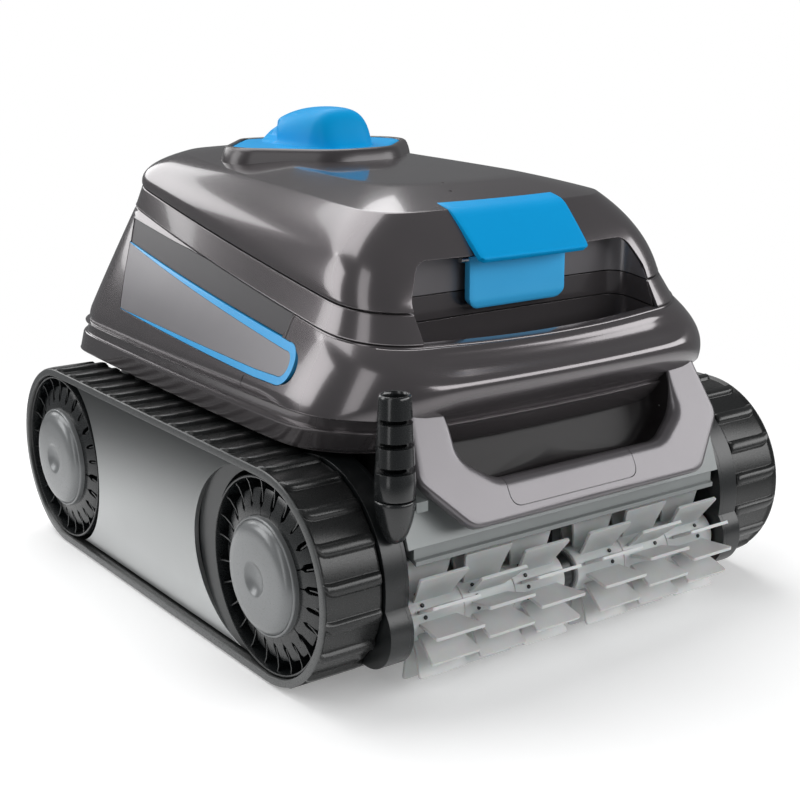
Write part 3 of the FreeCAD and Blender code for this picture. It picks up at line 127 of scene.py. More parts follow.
def drawn(name, rings, joined=True):
    """Skin over rings of equal count, as a closed loop if joined and otherwise with both ends closed."""
    count = len(rings[0])
    points = np.concatenate(rings)
    pairs = [(i, (i + 1) % len(rings)) for i in range(len(rings) - (0 if joined else 1))]
    faces = [(a * count + i, a * count + (i + 1) % count, b * count + (i + 1) % count, b * count + i)
             for a, b in pairs for i in range(count)]
    if not joined:
        faces.append(tuple(range(count - 1, -1, -1)))
        faces.append(tuple(range((len(rings) - 1) * count, len(rings) * count)))
    made = mesh_object(name, points, faces)
    outwards(made)
    return made


def outwards(made):
    """Turn every face of a closed mesh outwards."""
    volume = 0.0
    points = [vertex.co for vertex in made.data.vertices]
    for face in made.data.polygons:
        first = points[face.vertices[0]]
        for a, b in zip(face.vertices[1:-1], face.vertices[2:]):
            volume += first.dot(points[a].cross(points[b]))
    if volume < 0:
        made.data.flip_normals()


def evaluated(made):
    """The object with its modifiers made real."""
    bpy.context.view_layer.update()
    source = made.evaluated_get(bpy.context.evaluated_depsgraph_get())
    mesh = bpy.data.meshes.new_from_object(source)
    made.modifiers.clear()
    old, made.data = made.data, mesh
    bpy.data.meshes.remove(old)
    return made


def carved(made, tools, operation="DIFFERENCE"):
    """The object with closed tools taken out of it, or kept only inside one tool; the tools are used up."""
    for tool in tools:
        step = made.modifiers.new("carve", "BOOLEAN")
        step.operation = operation
        step.solver = "MANIFOLD"
        step.object = tool
    evaluated(made)
    for tool in tools:
        bpy.data.objects.remove(tool)
    return made


def rounded(corners, radii, steps=6):
    """Closed 2-D outline with each corner rounded by its radius."""
    corners = [np.array(corner, float) for corner in corners]
    if not isinstance(radii, (list, tuple)):
        radii = [radii] * len(corners)
    points = []
    for index, (corner, radius) in enumerate(zip(corners, radii)):
        back = corners[index - 1] - corner
        ahead = corners[(index + 1) % len(corners)] - corner
        back, ahead = back / np.linalg.norm(back), ahead / np.linalg.norm(ahead)
        if radius <= 0:
            points.append(corner)
            continue
        bend = math.acos(max(-1.0, min(1.0, float(back @ ahead))))
        reach = radius / math.tan(bend / 2)
        for t in np.linspace(0, 1, steps + 1):
            points.append(corner + back * reach * (1 - t) ** 2 + ahead * reach * t ** 2)
    return np.array(points)


def prism(outline, axis, start, end):
    """Closed prism along axis 0, 1 or 2 on an outline of the two other coordinates."""
    low = np.insert(outline, axis, start, 1)
    high = np.insert(outline, axis, end, 1)
    return drawn("tool", [low, high], joined=False)


def add_node(tree, kind, inputs=None, **settings):
    """One node with its settings; inputs maps a socket to a value or to the output that feeds it."""
    made = tree.nodes.new(kind)
    for name, value in settings.items():
        setattr(made, name, value)
    for socket, value in (inputs or {}).items():
        if isinstance(value, bpy.types.NodeSocket):
            tree.links.new(value, made.inputs[socket])
        else:
            made.inputs[socket].default_value = value
    return made


def linear(code):
    """Linear colour of an sRGB hex code."""
    parts = [int(code[i:i + 2], 16) / 255 for i in (1, 3, 5)]
    return tuple(c / 12.92 if c <= 0.04045 else ((c + 0.055) / 1.055) ** 2.4 for c in parts) + (1.0,)


def finish_of(name, light, dark, rough, rough_spread=0.06, grain=0.5, depth=0.01, patch=40.0, edge=0.5,
              **sockets):
    """Surface of two close colours in broad patches, with a fine grain in its relief and shine.

    grain and patch are the sizes of the two patterns in mm, depth the height of the relief in mm and edge the
    radius over which a sharp edge reads as rounded."""
    made = bpy.data.materials.new(name)
    made.use_nodes = True
    tree = made.node_tree
    tree.nodes.clear()
    place = add_node(tree, "ShaderNodeTexCoord").outputs["Object"]
    broad = add_node(tree, "ShaderNodeTexNoise", {"Vector": place, "Scale": 1 / (patch * MM), "Detail": 3.0})
    fine = add_node(tree, "ShaderNodeTexNoise", {"Vector": place, "Scale": 1 / (grain * MM), "Detail": 2.0})
    colour = add_node(tree, "ShaderNodeMix", {0: broad.outputs[0], 6: linear(dark), 7: linear(light)},
                      data_type="RGBA")
    shine = add_node(tree, "ShaderNodeMapRange", {0: fine.outputs[0], 1: 0.25, 2: 0.75,
                                                  3: rough - rough_spread, 4: rough + rough_spread})
    normal = add_node(tree, "ShaderNodeBevel", {"Radius": edge * MM}, samples=4)
    relief = add_node(tree, "ShaderNodeBump", {"Height": fine.outputs[0], "Distance": depth * MM,
                                               "Strength": 1.0, "Normal": normal.outputs[0]})
    shader = add_node(tree, "ShaderNodeBsdfPrincipled", {"Base Color": colour.outputs[2],
                                                         "Roughness": shine.outputs[0],
                                                         "Normal": relief.outputs[0]})
    for socket, value in sockets.items():
        shader.inputs[socket.replace("_", " ")].default_value = value
    add_node(tree, "ShaderNodeOutputMaterial", {"Surface": shader.outputs[0]})
    return made


def mounted(made, body, slot, material, *nodes, sharp=38.0):
    """Finish a piece: smooth faces, sharp folds, its material, its body and what it stands for; the slot is
    not used.
    """
    made.data.materials.clear()
    made.data.materials.append(material)
    made.data.polygons.foreach_set("use_smooth", [True] * len(made.data.polygons))
    made.data.set_sharp_from_angle(angle=math.radians(sharp))
    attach(made, body)
    if nodes:
        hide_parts(*nodes)
    return made


def dressed(material, *nodes):
    """Give carried-over nodes their material."""
    for name in nodes:
        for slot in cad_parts[name].material_slots:
            slot.material = material


# Glossy bronze-grey ABS: a half-metallic flake under a clear moulded skin, so highlights are sharp and cool.
casing_abs = finish_of("glossy_bronze_grey_abs", "#6b6668", "#625e60", 0.19, 0.015, grain=0.45, depth=0.0003,
                       edge=0.3, Metallic=0.62, Coat_Weight=0.6, Coat_Roughness=0.06)


def rim(values, outer, inner, radius, lift, upwards):
    """Rings that round a rim over from the outer face to the inner one."""
    sign = 1 if upwards else -1
    turn = [math.radians(a) for a in (0, 30, 60, 90)]
    rings = [ring(values, outer + radius * (1 - math.cos(a)), lift - sign * radius * (1 - math.sin(a)))
             for a in turn]
    return rings + [ring(values, inner, lift)]


# Lid: the sides climb through the brow to the crease, and the top closes over in one shallow dome.
LID_GAP = 0.45
SHELL_KEYS = [OUTLINES[name] for name in ("seam_high", "brow", "crease")]
SHELL_PLACES = (0.0, 0.52, 1.0)
DOME_RISE, DOME_CAP = 7.0, 0.7
SIDE_RISE = np.append(np.linspace(0, 0.955, 21), (0.985, 1.0))
TOP_RISE = np.append((0.012, 0.04), np.linspace(0.09, 1, 14))


def lid_rings(inset):
    """Rings of the lid's skin from its lower rim to the middle of its top."""
    rings = [ring(through(SHELL_KEYS, SHELL_PLACES, t), inset, LID_GAP * (1 - t)) for t in SIDE_RISE]
    crease, crown = OUTLINES["crease"], OUTLINES["crown"]
    for q in TOP_RISE:
        values = crease + (crown - crease) * q
        values[HEIGHT] = crease[HEIGHT] + DOME_RISE * (1.15 * q - 0.15 * q * q)
        rings.append(ring(values, inset))
    last = rings[-1]
    middle = np.array([0.0, 30.0, 0.0])
    for q in np.linspace(0, 1, 12)[1:]:
        shrink = 1 - 0.985 * q
        inner = middle + (last - middle) * (shrink, shrink, 1)
        inner[:, 2] = crown[HEIGHT] + crown[SLOPE] * inner[:, 1] + DOME_CAP * (2 * q - q * q)
        rings.append(inner)
    return rings


outer_rings = lid_rings(0.0)
inner_rings = [points - (0, 0, WALL if index >= len(SIDE_RISE) else 0)
               for index, points in enumerate(lid_rings(WALL))]
edge_low = rim(through(SHELL_KEYS, SHELL_PLACES, 0), 0, WALL, 0.9, LID_GAP, False)
lid_skin = drawn("lid_skin", inner_rings[::-1][:-1] + edge_low[::-1] + outer_rings[1:], joined=False)

# Two pin-sized holes in the top, behind the blue cover.
PIN_HOLE = 1.1
for x, y in ((-17.5, -85.5), (-23.5, -101.0)):
    turn = np.linspace(0, 2 * math.pi, 17)[:-1]
    circle = np.stack([x + PIN_HOLE * np.cos(turn), y + PIN_HOLE * np.sin(turn)], 1)
    lid_skin = carved(lid_skin, [prism(circle, 2, 262.0, 276.0)])

# The opening for the fingers in the lid's nose, in x and z; the pocket behind it ends at RECESS_BACK.
OPENING = rounded([(-94, 150), (94, 150), (94, 220), (83, 240), (-83, 240), (-94, 220)],
                  [0, 0, 20, 12, 12, 20], 12)
RECESS_BACK = -131.0
OPENING_REACH = (-230, RECESS_BACK + 6)
mounted(carved(lid_skin, [prism(OPENING, 1, *OPENING_REACH)]), "lid", "body_shell", casing_abs,
        "lid_shell", "top_panel")

# Band: the narrow rim of the lid under the shell.
band_keys = [OUTLINES["seam_low"], OUTLINES["seam_high"]]
band_rings = [ring(through(band_keys, (0.0, 1.0), t), 0, LID_GAP * (1 - t))
              for t in np.linspace(0.06, 0.94, 7)]
top_edge = rim(band_keys[1], 0, WALL, 0.8, -LID_GAP, True)
bottom_edge = rim(band_keys[0], 0, WALL, 0.8, LID_GAP, False)
lid_band = drawn("lid_band_skin", bottom_edge[::-1] + band_rings + top_edge)
mounted(carved(lid_band, [prism(OPENING, 1, *OPENING_REACH)]), "lid", "body_shell", casing_abs,
        "lid_band")

# Recess for the fingers: a pocket moulded into the lid, with a flat back and rounded ends.
RECESS_HALF, RECESS_FRONT, RECESS_CORNER, RECESS_THICK = 93.5, -175.0, 15.0, 2.2
recess_plan = rounded([(-RECESS_HALF, RECESS_FRONT), (-RECESS_HALF, RECESS_BACK), (RECESS_HALF, RECESS_BACK),
                       (RECESS_HALF, RECESS_FRONT)], [0, RECESS_CORNER, RECESS_CORNER, 0], 10)
# Painted reflection: the pocket's upper wall is the lid's own moulding, given a paler grey for the bright
# floor it mirrors; below the seam it keeps the casing's finish.
recess_painted_reflection_abs = finish_of("pocket_grey_painted_reflection_abs", "#868386", "#7d7a7d", 0.3, 0.03, grain=0.45, depth=0.0005, edge=0.6,
                       Metallic=0.5, Coat_Weight=0.3, Coat_Roughness=0.15)


def recess_part(name, low, high):
    """Stretch of the pocket's wall between two heights, which are functions of y."""
    inward = np.gradient(recess_plan, axis=0)
    inward = np.stack([-inward[:, 1], inward[:, 0]], 1)
    inward /= np.linalg.norm(inward, axis=1)[:, None]
    back = recess_plan + inward * RECESS_THICK
    loop = np.concatenate([recess_plan, back[::-1]])
    bottom = np.column_stack([loop, low(loop[:, 1])])
    top = np.column_stack([loop, high(loop[:, 1])])
    return drawn(name, [bottom, top], joined=False)


seam_at = {name: (lambda y, v=OUTLINES[name]: v[HEIGHT] + v[SLOPE] * y) for name in ("seam_low", "seam_high")}
limits = [("recess_lower", lambda y: seam_at["seam_low"](y) + 0.5, lambda y: seam_at["seam_high"](y) - 0.35,
           casing_abs),
          ("recess_upper", lambda y: seam_at["seam_high"](y) + 0.35, lambda y: 0 * y + 246, recess_painted_reflection_abs)]
for name, low, high, finish in limits:
    part = recess_part(name, low, high)
    trimmer = drawn("tool", [ring(OUTLINES["seam_low"], 0.7, -8), ring(OUTLINES["seam_high"], 0.7),
                             ring(OUTLINES["brow"], 0.7), ring(OUTLINES["crease"], 0.7)], joined=False)
    mounted(carved(part, [trimmer], "INTERSECT"), "lid", "body_shell", finish)

# Collar: the belly of the casing.  Across the front it swells into a bead with a long shallow dent above it.
COLLAR_KEYS = [OUTLINES[name] for name in ("groove", "bead", "seam_low")]
COLLAR_PLACES = (0.0, 0.27, 1.0)
DENT_DEPTH, DENT_AT, DENT_WIDE = 4.2, 0.74, 0.17
SWELL, SWELL_AT, SWELL_WIDE = 1.6, 0.36, 0.2
DENT_END, DENT_FADE = 98.0, 20.0
TUCK, TUCK_HIGH = 4.0, 0.16


def smooth(t):
    """Eased step from 0 to 1."""
    t = np.clip(t, 0, 1)
    return t * t * (3 - 2 * t)


def collar_ring(t, inset, lift=0.0):
    """Ring of the collar's face, with the dent and the swelling across the front."""
    points = ring(through(COLLAR_KEYS, COLLAR_PLACES, t), inset, lift)
    past_end = smooth((np.abs(points[:, 0]) - DENT_END + DENT_FADE) / (2 * DENT_FADE))
    front = (points[:, 1] < -60) * (1 - past_end)
    push = SWELL * math.exp(-((t - SWELL_AT) / SWELL_WIDE) ** 2)
    push -= DENT_DEPTH * math.exp(-((t - DENT_AT) / DENT_WIDE) ** 2)
    push *= min(1.0, (1 - t) * 9) * min(1.0, t * 5)
    points[:, 1] -= front * push * 0.8
    points[:, 2] += front * push * 0.6
    # Along the sides the lower edge turns under.
    under = smooth((points[:, 1] + 130) / 50) * TUCK * max(0.0, 1 - t / TUCK_HIGH) ** 2
    points[:, 0] -= np.sign(points[:, 0]) * under
    return points


heights = np.concatenate([np.linspace(0.02, 0.16, 12), np.linspace(0.18, 0.975, 44)])
collar_outer = [collar_ring(t, 0) for t in heights]
collar_inner = [ring(through(COLLAR_KEYS, COLLAR_PLACES, t), WALL + 3.5) for t in np.linspace(0, 0.975, 12)]
collar_bottom = rim(COLLAR_KEYS[0], 0, WALL + 3.5, 1.2, 0, False)
collar_top = rim(COLLAR_KEYS[2], 0, WALL + 3.5, 0.9, 0, True)
collar = drawn("collar_skin", collar_inner[:0:-1] + collar_bottom[::-1] + collar_outer + collar_top)

# The side panel sits in a wing-shaped window: tall at the rear, a round nose at the front.
NOSE_Y, NOSE_Z, NOSE_R = -101.0, 180.0, 12.0
WING_TOP_REAR, WING_LOW_REAR, WING_LOW_FRONT = (153.4, 217.6), (124.0, 176.0), (-76.0, 168.0)
BAND_LINE = [(163.6, 232.6), (-87.4, 211.2), (-91.4, 197.4)]
STRIPE_WIDE = 4.6


def wing_edge(inset_at):
    """Outline of the wing from its top rear corner round the nose to its low rear corner, drawn in."""
    turn = np.radians(np.linspace(84, 266, 26))
    nose = np.stack([NOSE_Y + NOSE_R * np.cos(turn), NOSE_Z + NOSE_R * np.sin(turn)], 1)
    top = np.linspace(WING_TOP_REAR, nose[0], 40)[:-1]
    low = np.linspace(nose[-1], WING_LOW_FRONT, 4)[1:]
    low = np.concatenate([low, np.linspace(WING_LOW_FRONT, WING_LOW_REAR, 30)[1:]])
    line = np.concatenate([top, nose, low])
    along = np.gradient(line, axis=0)
    side = np.stack([-along[:, 1], along[:, 0]], 1)
    side /= np.linalg.norm(side, axis=1)[:, None]
    return line + side * inset_at(line)[:, None]


def stripe_width(line):
    """Width of the stripe along the wing's edge: full at the nose, nothing at the rear."""
    rear = np.where(line[:, 1] > 182, 158.0, 112.0)
    return STRIPE_WIDE * np.clip((rear - line[:, 0]) / (rear - NOSE_Y), 0, 1) ** 0.75


window = wing_edge(lambda line: np.full(len(line), -0.35))
stripe_out = wing_edge(lambda line: np.full(len(line), 0.0))
stripe_in = wing_edge(lambda line: stripe_width(line) + 0.02)
insert_out = wing_edge(lambda line: stripe_width(line) + 0.25)
# Above the stripe a facet runs from the rear edge of the window to the joint before the nose; its dark colour
# is painted shade.
band_low = np.linspace((-89.6, 193.6), WING_TOP_REAR, 12)
band_out = np.array(BAND_LINE + [tuple(point) for point in band_low + (0, 0.3)])
band_window = np.array([(164.4, 233.0), (-88.0, 211.6), (-92.2, 197.2), (-90.0, 192.0), (150.0, 215.6)])
tools = [prism(window, 0, -200, 200), prism(band_window, 0, -200, 200)]
for side in (-1, 1):
    # Dished crescent in front of the nose, and the two hairline joints that run from the wing to the rims.
    centre = np.array([side * 163.0, NOSE_Y - 4.0, 186.0])
    lean = np.array([side * 0.93, 0.0, 0.36])
    across, up = np.array([0.0, 1.0, 0.0]), np.array([side * -0.36, 0.0, 0.93])
    turn = np.linspace(0, 2 * math.pi, 49)[:-1]
    cone = [centre + lean * out + (across * np.cos(turn)[:, None] + up * np.sin(turn)[:, None]) * wide
            for out, wide in ((-24, 4), (-14.8, 13.4), (-8, 26), (10, 60))]
    tools.append(drawn("tool", cone, joined=False))
    for line in ([(-89.6, 213.0), (-90.7, 210.0), (-94.2, 196.0), (-95.0, 190.0)],
                 [(-66.5, 167.0), (-65.0, 164.0), (-60.5, 155.6), (-60.0, 150.0)]):
        line = np.array(line)
        seam = np.concatenate([line, line[::-1] + (0.7, 0.0)])
        near, far = side * 105, side * 175
        tools.append(prism(seam, 0, min(near, far), max(near, far)))
collar = carved(collar, tools)
mounted(collar, "chassis", "body_shell", casing_abs, "collar_band")

# The finger pocket goes on below the lid: a wall in line with the lid's own, and a floor that closes it.
POCKET_DEEP, COLLAR_INSIDE = 26.0, 6.7
inside_collar = [ring(OUTLINES["seam_low"], COLLAR_INSIDE, lift) for lift in (-POCKET_DEEP - 4, -0.3)]
pocket_wall = recess_part("collar_pocket_wall", lambda y: seam_at["seam_low"](y) - POCKET_DEEP,
                          lambda y: seam_at["seam_low"](y) - 0.35)
pocket_wall = carved(pocket_wall, [drawn("tool", inside_collar, joined=False)], "INTERSECT")
mounted(pocket_wall, "chassis", "body_shell", casing_abs)
floor_rings = [ring(OUTLINES["seam_low"], COLLAR_INSIDE, -POCKET_DEEP - lift) for lift in (2.4, 0.2)]
floor_limit = prism(np.array([(-98, -200), (98, -200), (98, -124), (-98, -124)]), 2, 120, 260)
pocket_floor = carved(drawn("collar_pocket_floor", floor_rings, joined=False), [floor_limit], "INTERSECT")
mounted(pocket_floor, "chassis", "body_shell", casing_abs)

# Hinge: two arms on the collar carry the pin, and one knuckle on the lid turns about it between them.
HINGE_AT = np.array([203.0, 243.7])
EYE_RADIUS, BORE_RADIUS = 6.0, 2.55


def hinge_arm(name, near, far, foot):
    """Rounded arm round the hinge pin, between two x positions, that tapers out of a foot in y and z."""
    turn = np.radians(np.linspace(100, -140, 25) if foot[0][1] > HINGE_AT[1] else np.linspace(140, -100, 25))
    eye = HINGE_AT + EYE_RADIUS * np.stack([np.cos(turn), np.sin(turn)], 1)
    outline = np.concatenate([eye, np.array(foot, float)])
    arm = prism(outline, 0, near, far)
    circle = np.linspace(0, 2 * math.pi, 33)[:-1]
    bore = HINGE_AT + BORE_RADIUS * np.stack([np.cos(circle), np.sin(circle)], 1)
    arm = carved(arm, [prism(bore, 0, near - 1, far + 1)])
    arm.name = name
    return arm


for name, near, far in (("hinge_arm_left", -41, -27), ("hinge_arm_right", 27, 41)):
    arm = hinge_arm(name, near, far, [(199.5, 230), (193, 226), (193, 240)])
    mounted(arm, "chassis", "body_shell", casing_abs)
knuckle = hinge_arm("lid_knuckle", -25.5, 25.5, [(189, 245), (189, 250.5), (194, 251.5)])
mounted(knuckle, "lid", "body_shell", casing_abs)

# Skirt: the chassis shell under the collar, drawn in under it to leave a dark channel all round.
SKIRT_KEYS = [OUTLINES["skirt"], OUTLINES["groove"]]
CHANNEL_LOW, CHANNEL_DEEP = 0.68, 2.6
skirt_rings = [ring(through(SKIRT_KEYS, (0.0, 1.0), t)) for t in np.linspace(0.07, CHANNEL_LOW - 0.06, 8)]
channel = [ring(through(SKIRT_KEYS, (0.0, 1.0), t), inset)
           for t, inset in ((CHANNEL_LOW - 0.02, 0.3), (CHANNEL_LOW, 1.1), (CHANNEL_LOW, CHANNEL_DEEP),
                            (1.1, CHANNEL_DEEP), (1.1, WALL + 4))]
skirt_bottom = rim(SKIRT_KEYS[0], 0, WALL + 4, 1.2, 0, False)
skirt = drawn("skirt_skin", skirt_bottom[::-1] + skirt_rings + channel)
mounted(skirt, "chassis", "body_shell", casing_abs, "lower_shell")

# ---------------------------------------------------------------- side panels and stripes
# Satin ABS panels pressed into the collar's windows, edged by a tapering stripe moulded in light blue ABS.

panel_abs = finish_of("satin_grey_abs", "#838184", "#7b797c", 0.34, 0.04, grain=0.4, depth=0.0015, edge=0.3,
                      Metallic=0.45, Coat_Weight=0.2, Coat_Roughness=0.2)
# The facet's black-bronze is painted shade: a darker copy of the casing's finish where the facet turns away
# from the light.
painted_shade_facet_abs = finish_of("dark_facet_abs", "#3e3c3f", "#373538", 0.34, 0.03, grain=0.4, depth=0.0005, edge=0.3,
                      Specular_IOR_Level=0.3)
stripe_abs = finish_of("light_blue_abs", "#3fb0ee", "#2a9cdc", 0.3, 0.04, grain=0.5, depth=0.002, edge=0.25,
                       Coat_Weight=0.3, Coat_Roughness=0.15)


def collar_layer(inset):
    """Closed block of the collar's face, drawn in by inset."""
    outer = [collar_ring(t, inset) for t in np.linspace(0, 1, 36)]
    inner = [ring(through(COLLAR_KEYS, COLLAR_PLACES, t), inset + 3) for t in np.linspace(1, 0, 10)]
    return drawn("layer", outer + inner)


for side, word in ((-1, "left"), (1, "right")):
    start, end = (60, 200) if side > 0 else (-200, -60)
    insert = carved(collar_layer(0.25), [prism(insert_out, 0, start, end)], "INTERSECT")
    insert.name = "side_panel_" + word
    mounted(insert, "chassis", "dark_shell", panel_abs, "side_insert_" + word)
    stripe_outline = np.concatenate([stripe_out, stripe_in[::-1]])
    stripe = carved(collar_layer(0.05), [prism(stripe_outline, 0, start, end)], "INTERSECT")
    stripe.name = "stripe_" + word
    mounted(stripe, "chassis", "stripe_blue", stripe_abs, "accent_stripes")
    facet = carved(collar_layer(0.7), [prism(band_out, 0, start, end)], "INTERSECT")
    facet.name = "side_facet_" + word
    mounted(facet, "chassis", "dark_shell", painted_shade_facet_abs)

# ---------------------------------------------------------------- blue latch cover and lever
# Satin blue ABS.  The cover is a thin moulding that folds over the lid's crease; the lever under it is a
# rounded plate that hangs from a steel pin and is pulled with two fingers.

cover_abs = finish_of("blue_abs", "#009fe0", "#0097d6", 0.42, 0.03, grain=0.5, depth=0.0015, edge=0.5,
                      Specular_IOR_Level=0.12)
lever_abs = finish_of("light_blue_lever_abs", "#45baf6", "#3ab1ee", 0.42, 0.04, grain=0.5, depth=0.002,
                      edge=0.5, Specular_IOR_Level=0.25)
COVER_HALF_TOP, COVER_HALF_LOW = 46.5, 43.0
COVER_PROFILE = [(-113.5, 268.1), (-121, 266.9), (-128, 265.2), (-132.5, 262.4), (-140, 255.4), (-148, 247.6),
                 (-154, 241.5), (-157.2, 237.9)]
COVER_PROUD, COVER_THICK = 0.45, 3.2


def cover_sheet(name, profile, half_top, half_low, proud, thick, crown, round_low, cells=26):
    """Curved sheet along a profile in y and z, crowned across, with rounded lower corners and edges."""
    line = np.array(profile)
    lengths = np.concatenate([[0], np.cumsum(np.linalg.norm(np.diff(line, axis=0), axis=1))])
    total = lengths[-1]
    stations = np.linspace(0, total, 34)
    line = np.column_stack([np.interp(stations, lengths, line[:, i]) for i in (0, 1)])
    for _ in range(2):
        line[1:-1] = line[1:-1] * 0.5 + (line[:-2] + line[2:]) * 0.25
    along = np.gradient(line, axis=0)
    out = np.stack([along[:, 1], -along[:, 0]], 1)
    out /= np.linalg.norm(out, axis=1)[:, None]
    layers = []
    edge = 0.7
    steps = ((proud - thick, 0.0), (proud - edge, 0.0), (proud - edge * 0.3, edge * 0.3), (proud, edge))
    for offset, shrink in steps:
        grid = []
        for station, (y, z), (ny, nz) in zip(stations, line, out):
            part = station / total
            half = half_top + (half_low - half_top) * part - shrink
            reach = min(station, total - shrink)
            left = max(0.0, round_low - (total - reach))
            half -= round_low - math.sqrt(max(0.0, round_low ** 2 - left ** 2)) if left > 0 else 0.0
            xs = np.linspace(-half, half, cells)
            sag = crown * (xs / half_top) ** 2
            pull = shrink if station == total else 0.0
            grid.append(np.column_stack([xs, y + ny * offset + sag, np.full(cells, z + nz * offset + pull)]))
        layers.append(np.array(grid))
    count = len(stations)
    rings = []
    for grid in layers:
        rings.append(np.concatenate([grid[0], grid[1:, -1], grid[-1, -2::-1], grid[-2:0:-1, 0]]))
    made_points = np.concatenate(rings + [layers[0].reshape(-1, 3), layers[-1].reshape(-1, 3)])
    size = len(rings[0])
    faces = [(a * size + i, a * size + (i + 1) % size, (a + 1) * size + (i + 1) % size, (a + 1) * size + i)
             for a in range(len(rings) - 1) for i in range(size)]
    start = len(rings) * size
    for base in (start, start + count * cells):
        turned = base != start
        for i in range(count - 1):
            for j in range(cells - 1):
                face = (base + i * cells + j, base + i * cells + j + 1, base + (i + 1) * cells + j + 1,
                        base + (i + 1) * cells + j)
                faces.append(face[::-1] if turned else face)
    made = mesh_object(name, made_points, faces)
    welded(made)
    return made


def welded(made, gap=0.02):
    """Merge points that meet and turn every face outwards."""
    work = bmesh.new()
    work.from_mesh(made.data)
    bmesh.ops.remove_doubles(work, verts=work.verts, dist=gap * MM)
    bmesh.ops.recalc_face_normals(work, faces=work.faces)
    work.to_mesh(made.data)
    work.free()
    return made


COVER_CROWN, COVER_CORNER = 1.1, 3.0
cover = cover_sheet("latch_cover_skin", COVER_PROFILE, COVER_HALF_TOP, COVER_HALF_LOW, COVER_PROUD,
                    COVER_THICK, COVER_CROWN, COVER_CORNER)
mounted(cover, "lid", "blue_cover", cover_abs, "latch_cover")

LEVER_PROFILE = [(-139.6, 237.5), (-139.6, 228), (-139.6, 216), (-139.8, 209.5), (-138.2, 204.8)]
LEVER_HALF, LEVER_THICK, LEVER_CORNER = 38.5, 4.6, 8.0
lever = cover_sheet("latch_lever_skin", LEVER_PROFILE, LEVER_HALF, LEVER_HALF, 0.0, LEVER_THICK, 0.0,
                    LEVER_CORNER)
mounted(lever, "latch", "light_blue", lever_abs, "latch_lever")

# ---------------------------------------------------------------- outlet: bezel, blue plate and hood
# A raised bronze-grey rim round a blue plate, with the domed blue hood that turns the pump's jet backwards.

BEZEL_CORNERS = [(25.5, 20), (75, 73), (75, 97), (31.5, 150), (-31.5, 150), (-75, 97), (-75, 73), (-25.5, 20)]
BEZEL_ROUND = [38, 30, 30, 20, 20, 30, 30, 38]
BEZEL_CENTRE = np.array([0.0, 85.0])


def bezel_ring(inset, z):
    """Outline of the outlet at one height, drawn in by inset."""
    flat = rounded(BEZEL_CORNERS, BEZEL_ROUND, 12)
    away = flat - BEZEL_CENTRE
    flat = flat - away / np.linalg.norm(away, axis=1)[:, None] * inset
    return np.column_stack([flat, np.full(len(flat), z)])


bezel_steps = [(13.5, 276), (-0.5, 276), (0, 279.5), (0.8, 282.5), (2.0, 285.4), (3.2, 287.1), (4.8, 288),
               (6.2, 288.1), (7.2, 287.6), (7.7, 286.4), (7.7, 284.6), (13.5, 284.6)]
bezel = drawn("bezel_rim", [bezel_ring(inset, z) for inset, z in bezel_steps])
bezel_abs = finish_of("dark_bronze_abs", "#4a4648", "#423e40", 0.34, 0.04, grain=0.45, depth=0.002, edge=0.4,
                      Metallic=0.3, Coat_Weight=0.3, Coat_Roughness=0.2)
mounted(bezel, "lid", "body_shell", bezel_abs)
plate_steps = [(8.6, 284.8), (8.2, 286.0), (8.4, 286.8), (9.4, 287.3)]
plate_rings = [bezel_ring(inset, z) for inset, z in plate_steps]
for shrink in np.linspace(1, 0.04, 12)[1:]:
    inner = plate_rings[3] * 1.0
    inner[:, :2] = BEZEL_CENTRE + (inner[:, :2] - BEZEL_CENTRE) * shrink
    inner[:, 2] += 0.5 * (1 - shrink)
    plate_rings.append(inner)
outlet_plate = drawn("outlet_plate", plate_rings, joined=False)
mounted(outlet_plate, "lid", "blue_cover", cover_abs)

HOOD_BASE = 286.3
HOOD_STATIONS = np.array([
    # y, half width, height above the plate
    (38.4, 7.0, 0.6), (40.8, 11.7, 3.2), (43.9, 16.4, 9.0), (47.3, 20.3, 16.0), (50.7, 22.6, 22.0),
    (54.8, 24.6, 25.9), (59.5, 26.1, 27.2), (69.0, 27.7, 27.6), (81.3, 28.5, 27.2), (93.5, 28.5, 25.6),
    (104.4, 27.7, 23.0), (113.9, 26.1, 19.6), (121.4, 23.8, 15.6), (126.2, 21.1, 11.2), (128.5, 18.3, 6.4),
    (129.9, 16.0, 1.4)])


def hood_rings():
    """Cross-sections of the hood from front to rear, each a full arch that starts and ends on the plate."""
    rows = np.linspace(0, len(HOOD_STATIONS) - 1, 72)
    index = np.arange(len(HOOD_STATIONS))
    turn = np.radians(np.linspace(0, 180, 57))
    rings = []
    for row in rows:
        low = min(int(row), len(index) - 2)
        t = row - low
        a, b = HOOD_STATIONS[low], HOOD_STATIONS[low + 1]
        before = HOOD_STATIONS[max(low - 1, 0)]
        after = HOOD_STATIONS[min(low + 2, len(index) - 1)]
        y, half, high = 0.5 * (2 * a + (b - before) * t + (2 * before - 5 * a + 4 * b - after) * t ** 2
                               + (3 * a - before - 3 * b + after) * t ** 3)
        power = 2 / 2.5
        x = half * np.sign(np.cos(turn)) * np.abs(np.cos(turn)) ** power
        z = high * np.sin(turn) ** power
        flare = 3.4 * np.exp(-z / 2.0)
        x = x + np.sign(np.cos(turn)) * flare * (np.abs(np.cos(turn)) > 0.2)
        # Scoop on each flank towards the rear, bounded in front by a slanting ridge.
        ridge = 106 - (z / 22.0) * 3 - (1 - z / 22.0) * 12
        behind = smooth((y - ridge) / 3.6)
        tall = smooth((z - 1.5) / 5.0) * (1 - smooth((z - 11.0) / 8.0))
        x = x - np.sign(np.cos(turn)) * 6.5 * behind * tall * (1 - smooth((y - 121) / 8.0))
        rings.append(np.column_stack([x, np.full_like(x, y), HOOD_BASE + z]))
    return rings


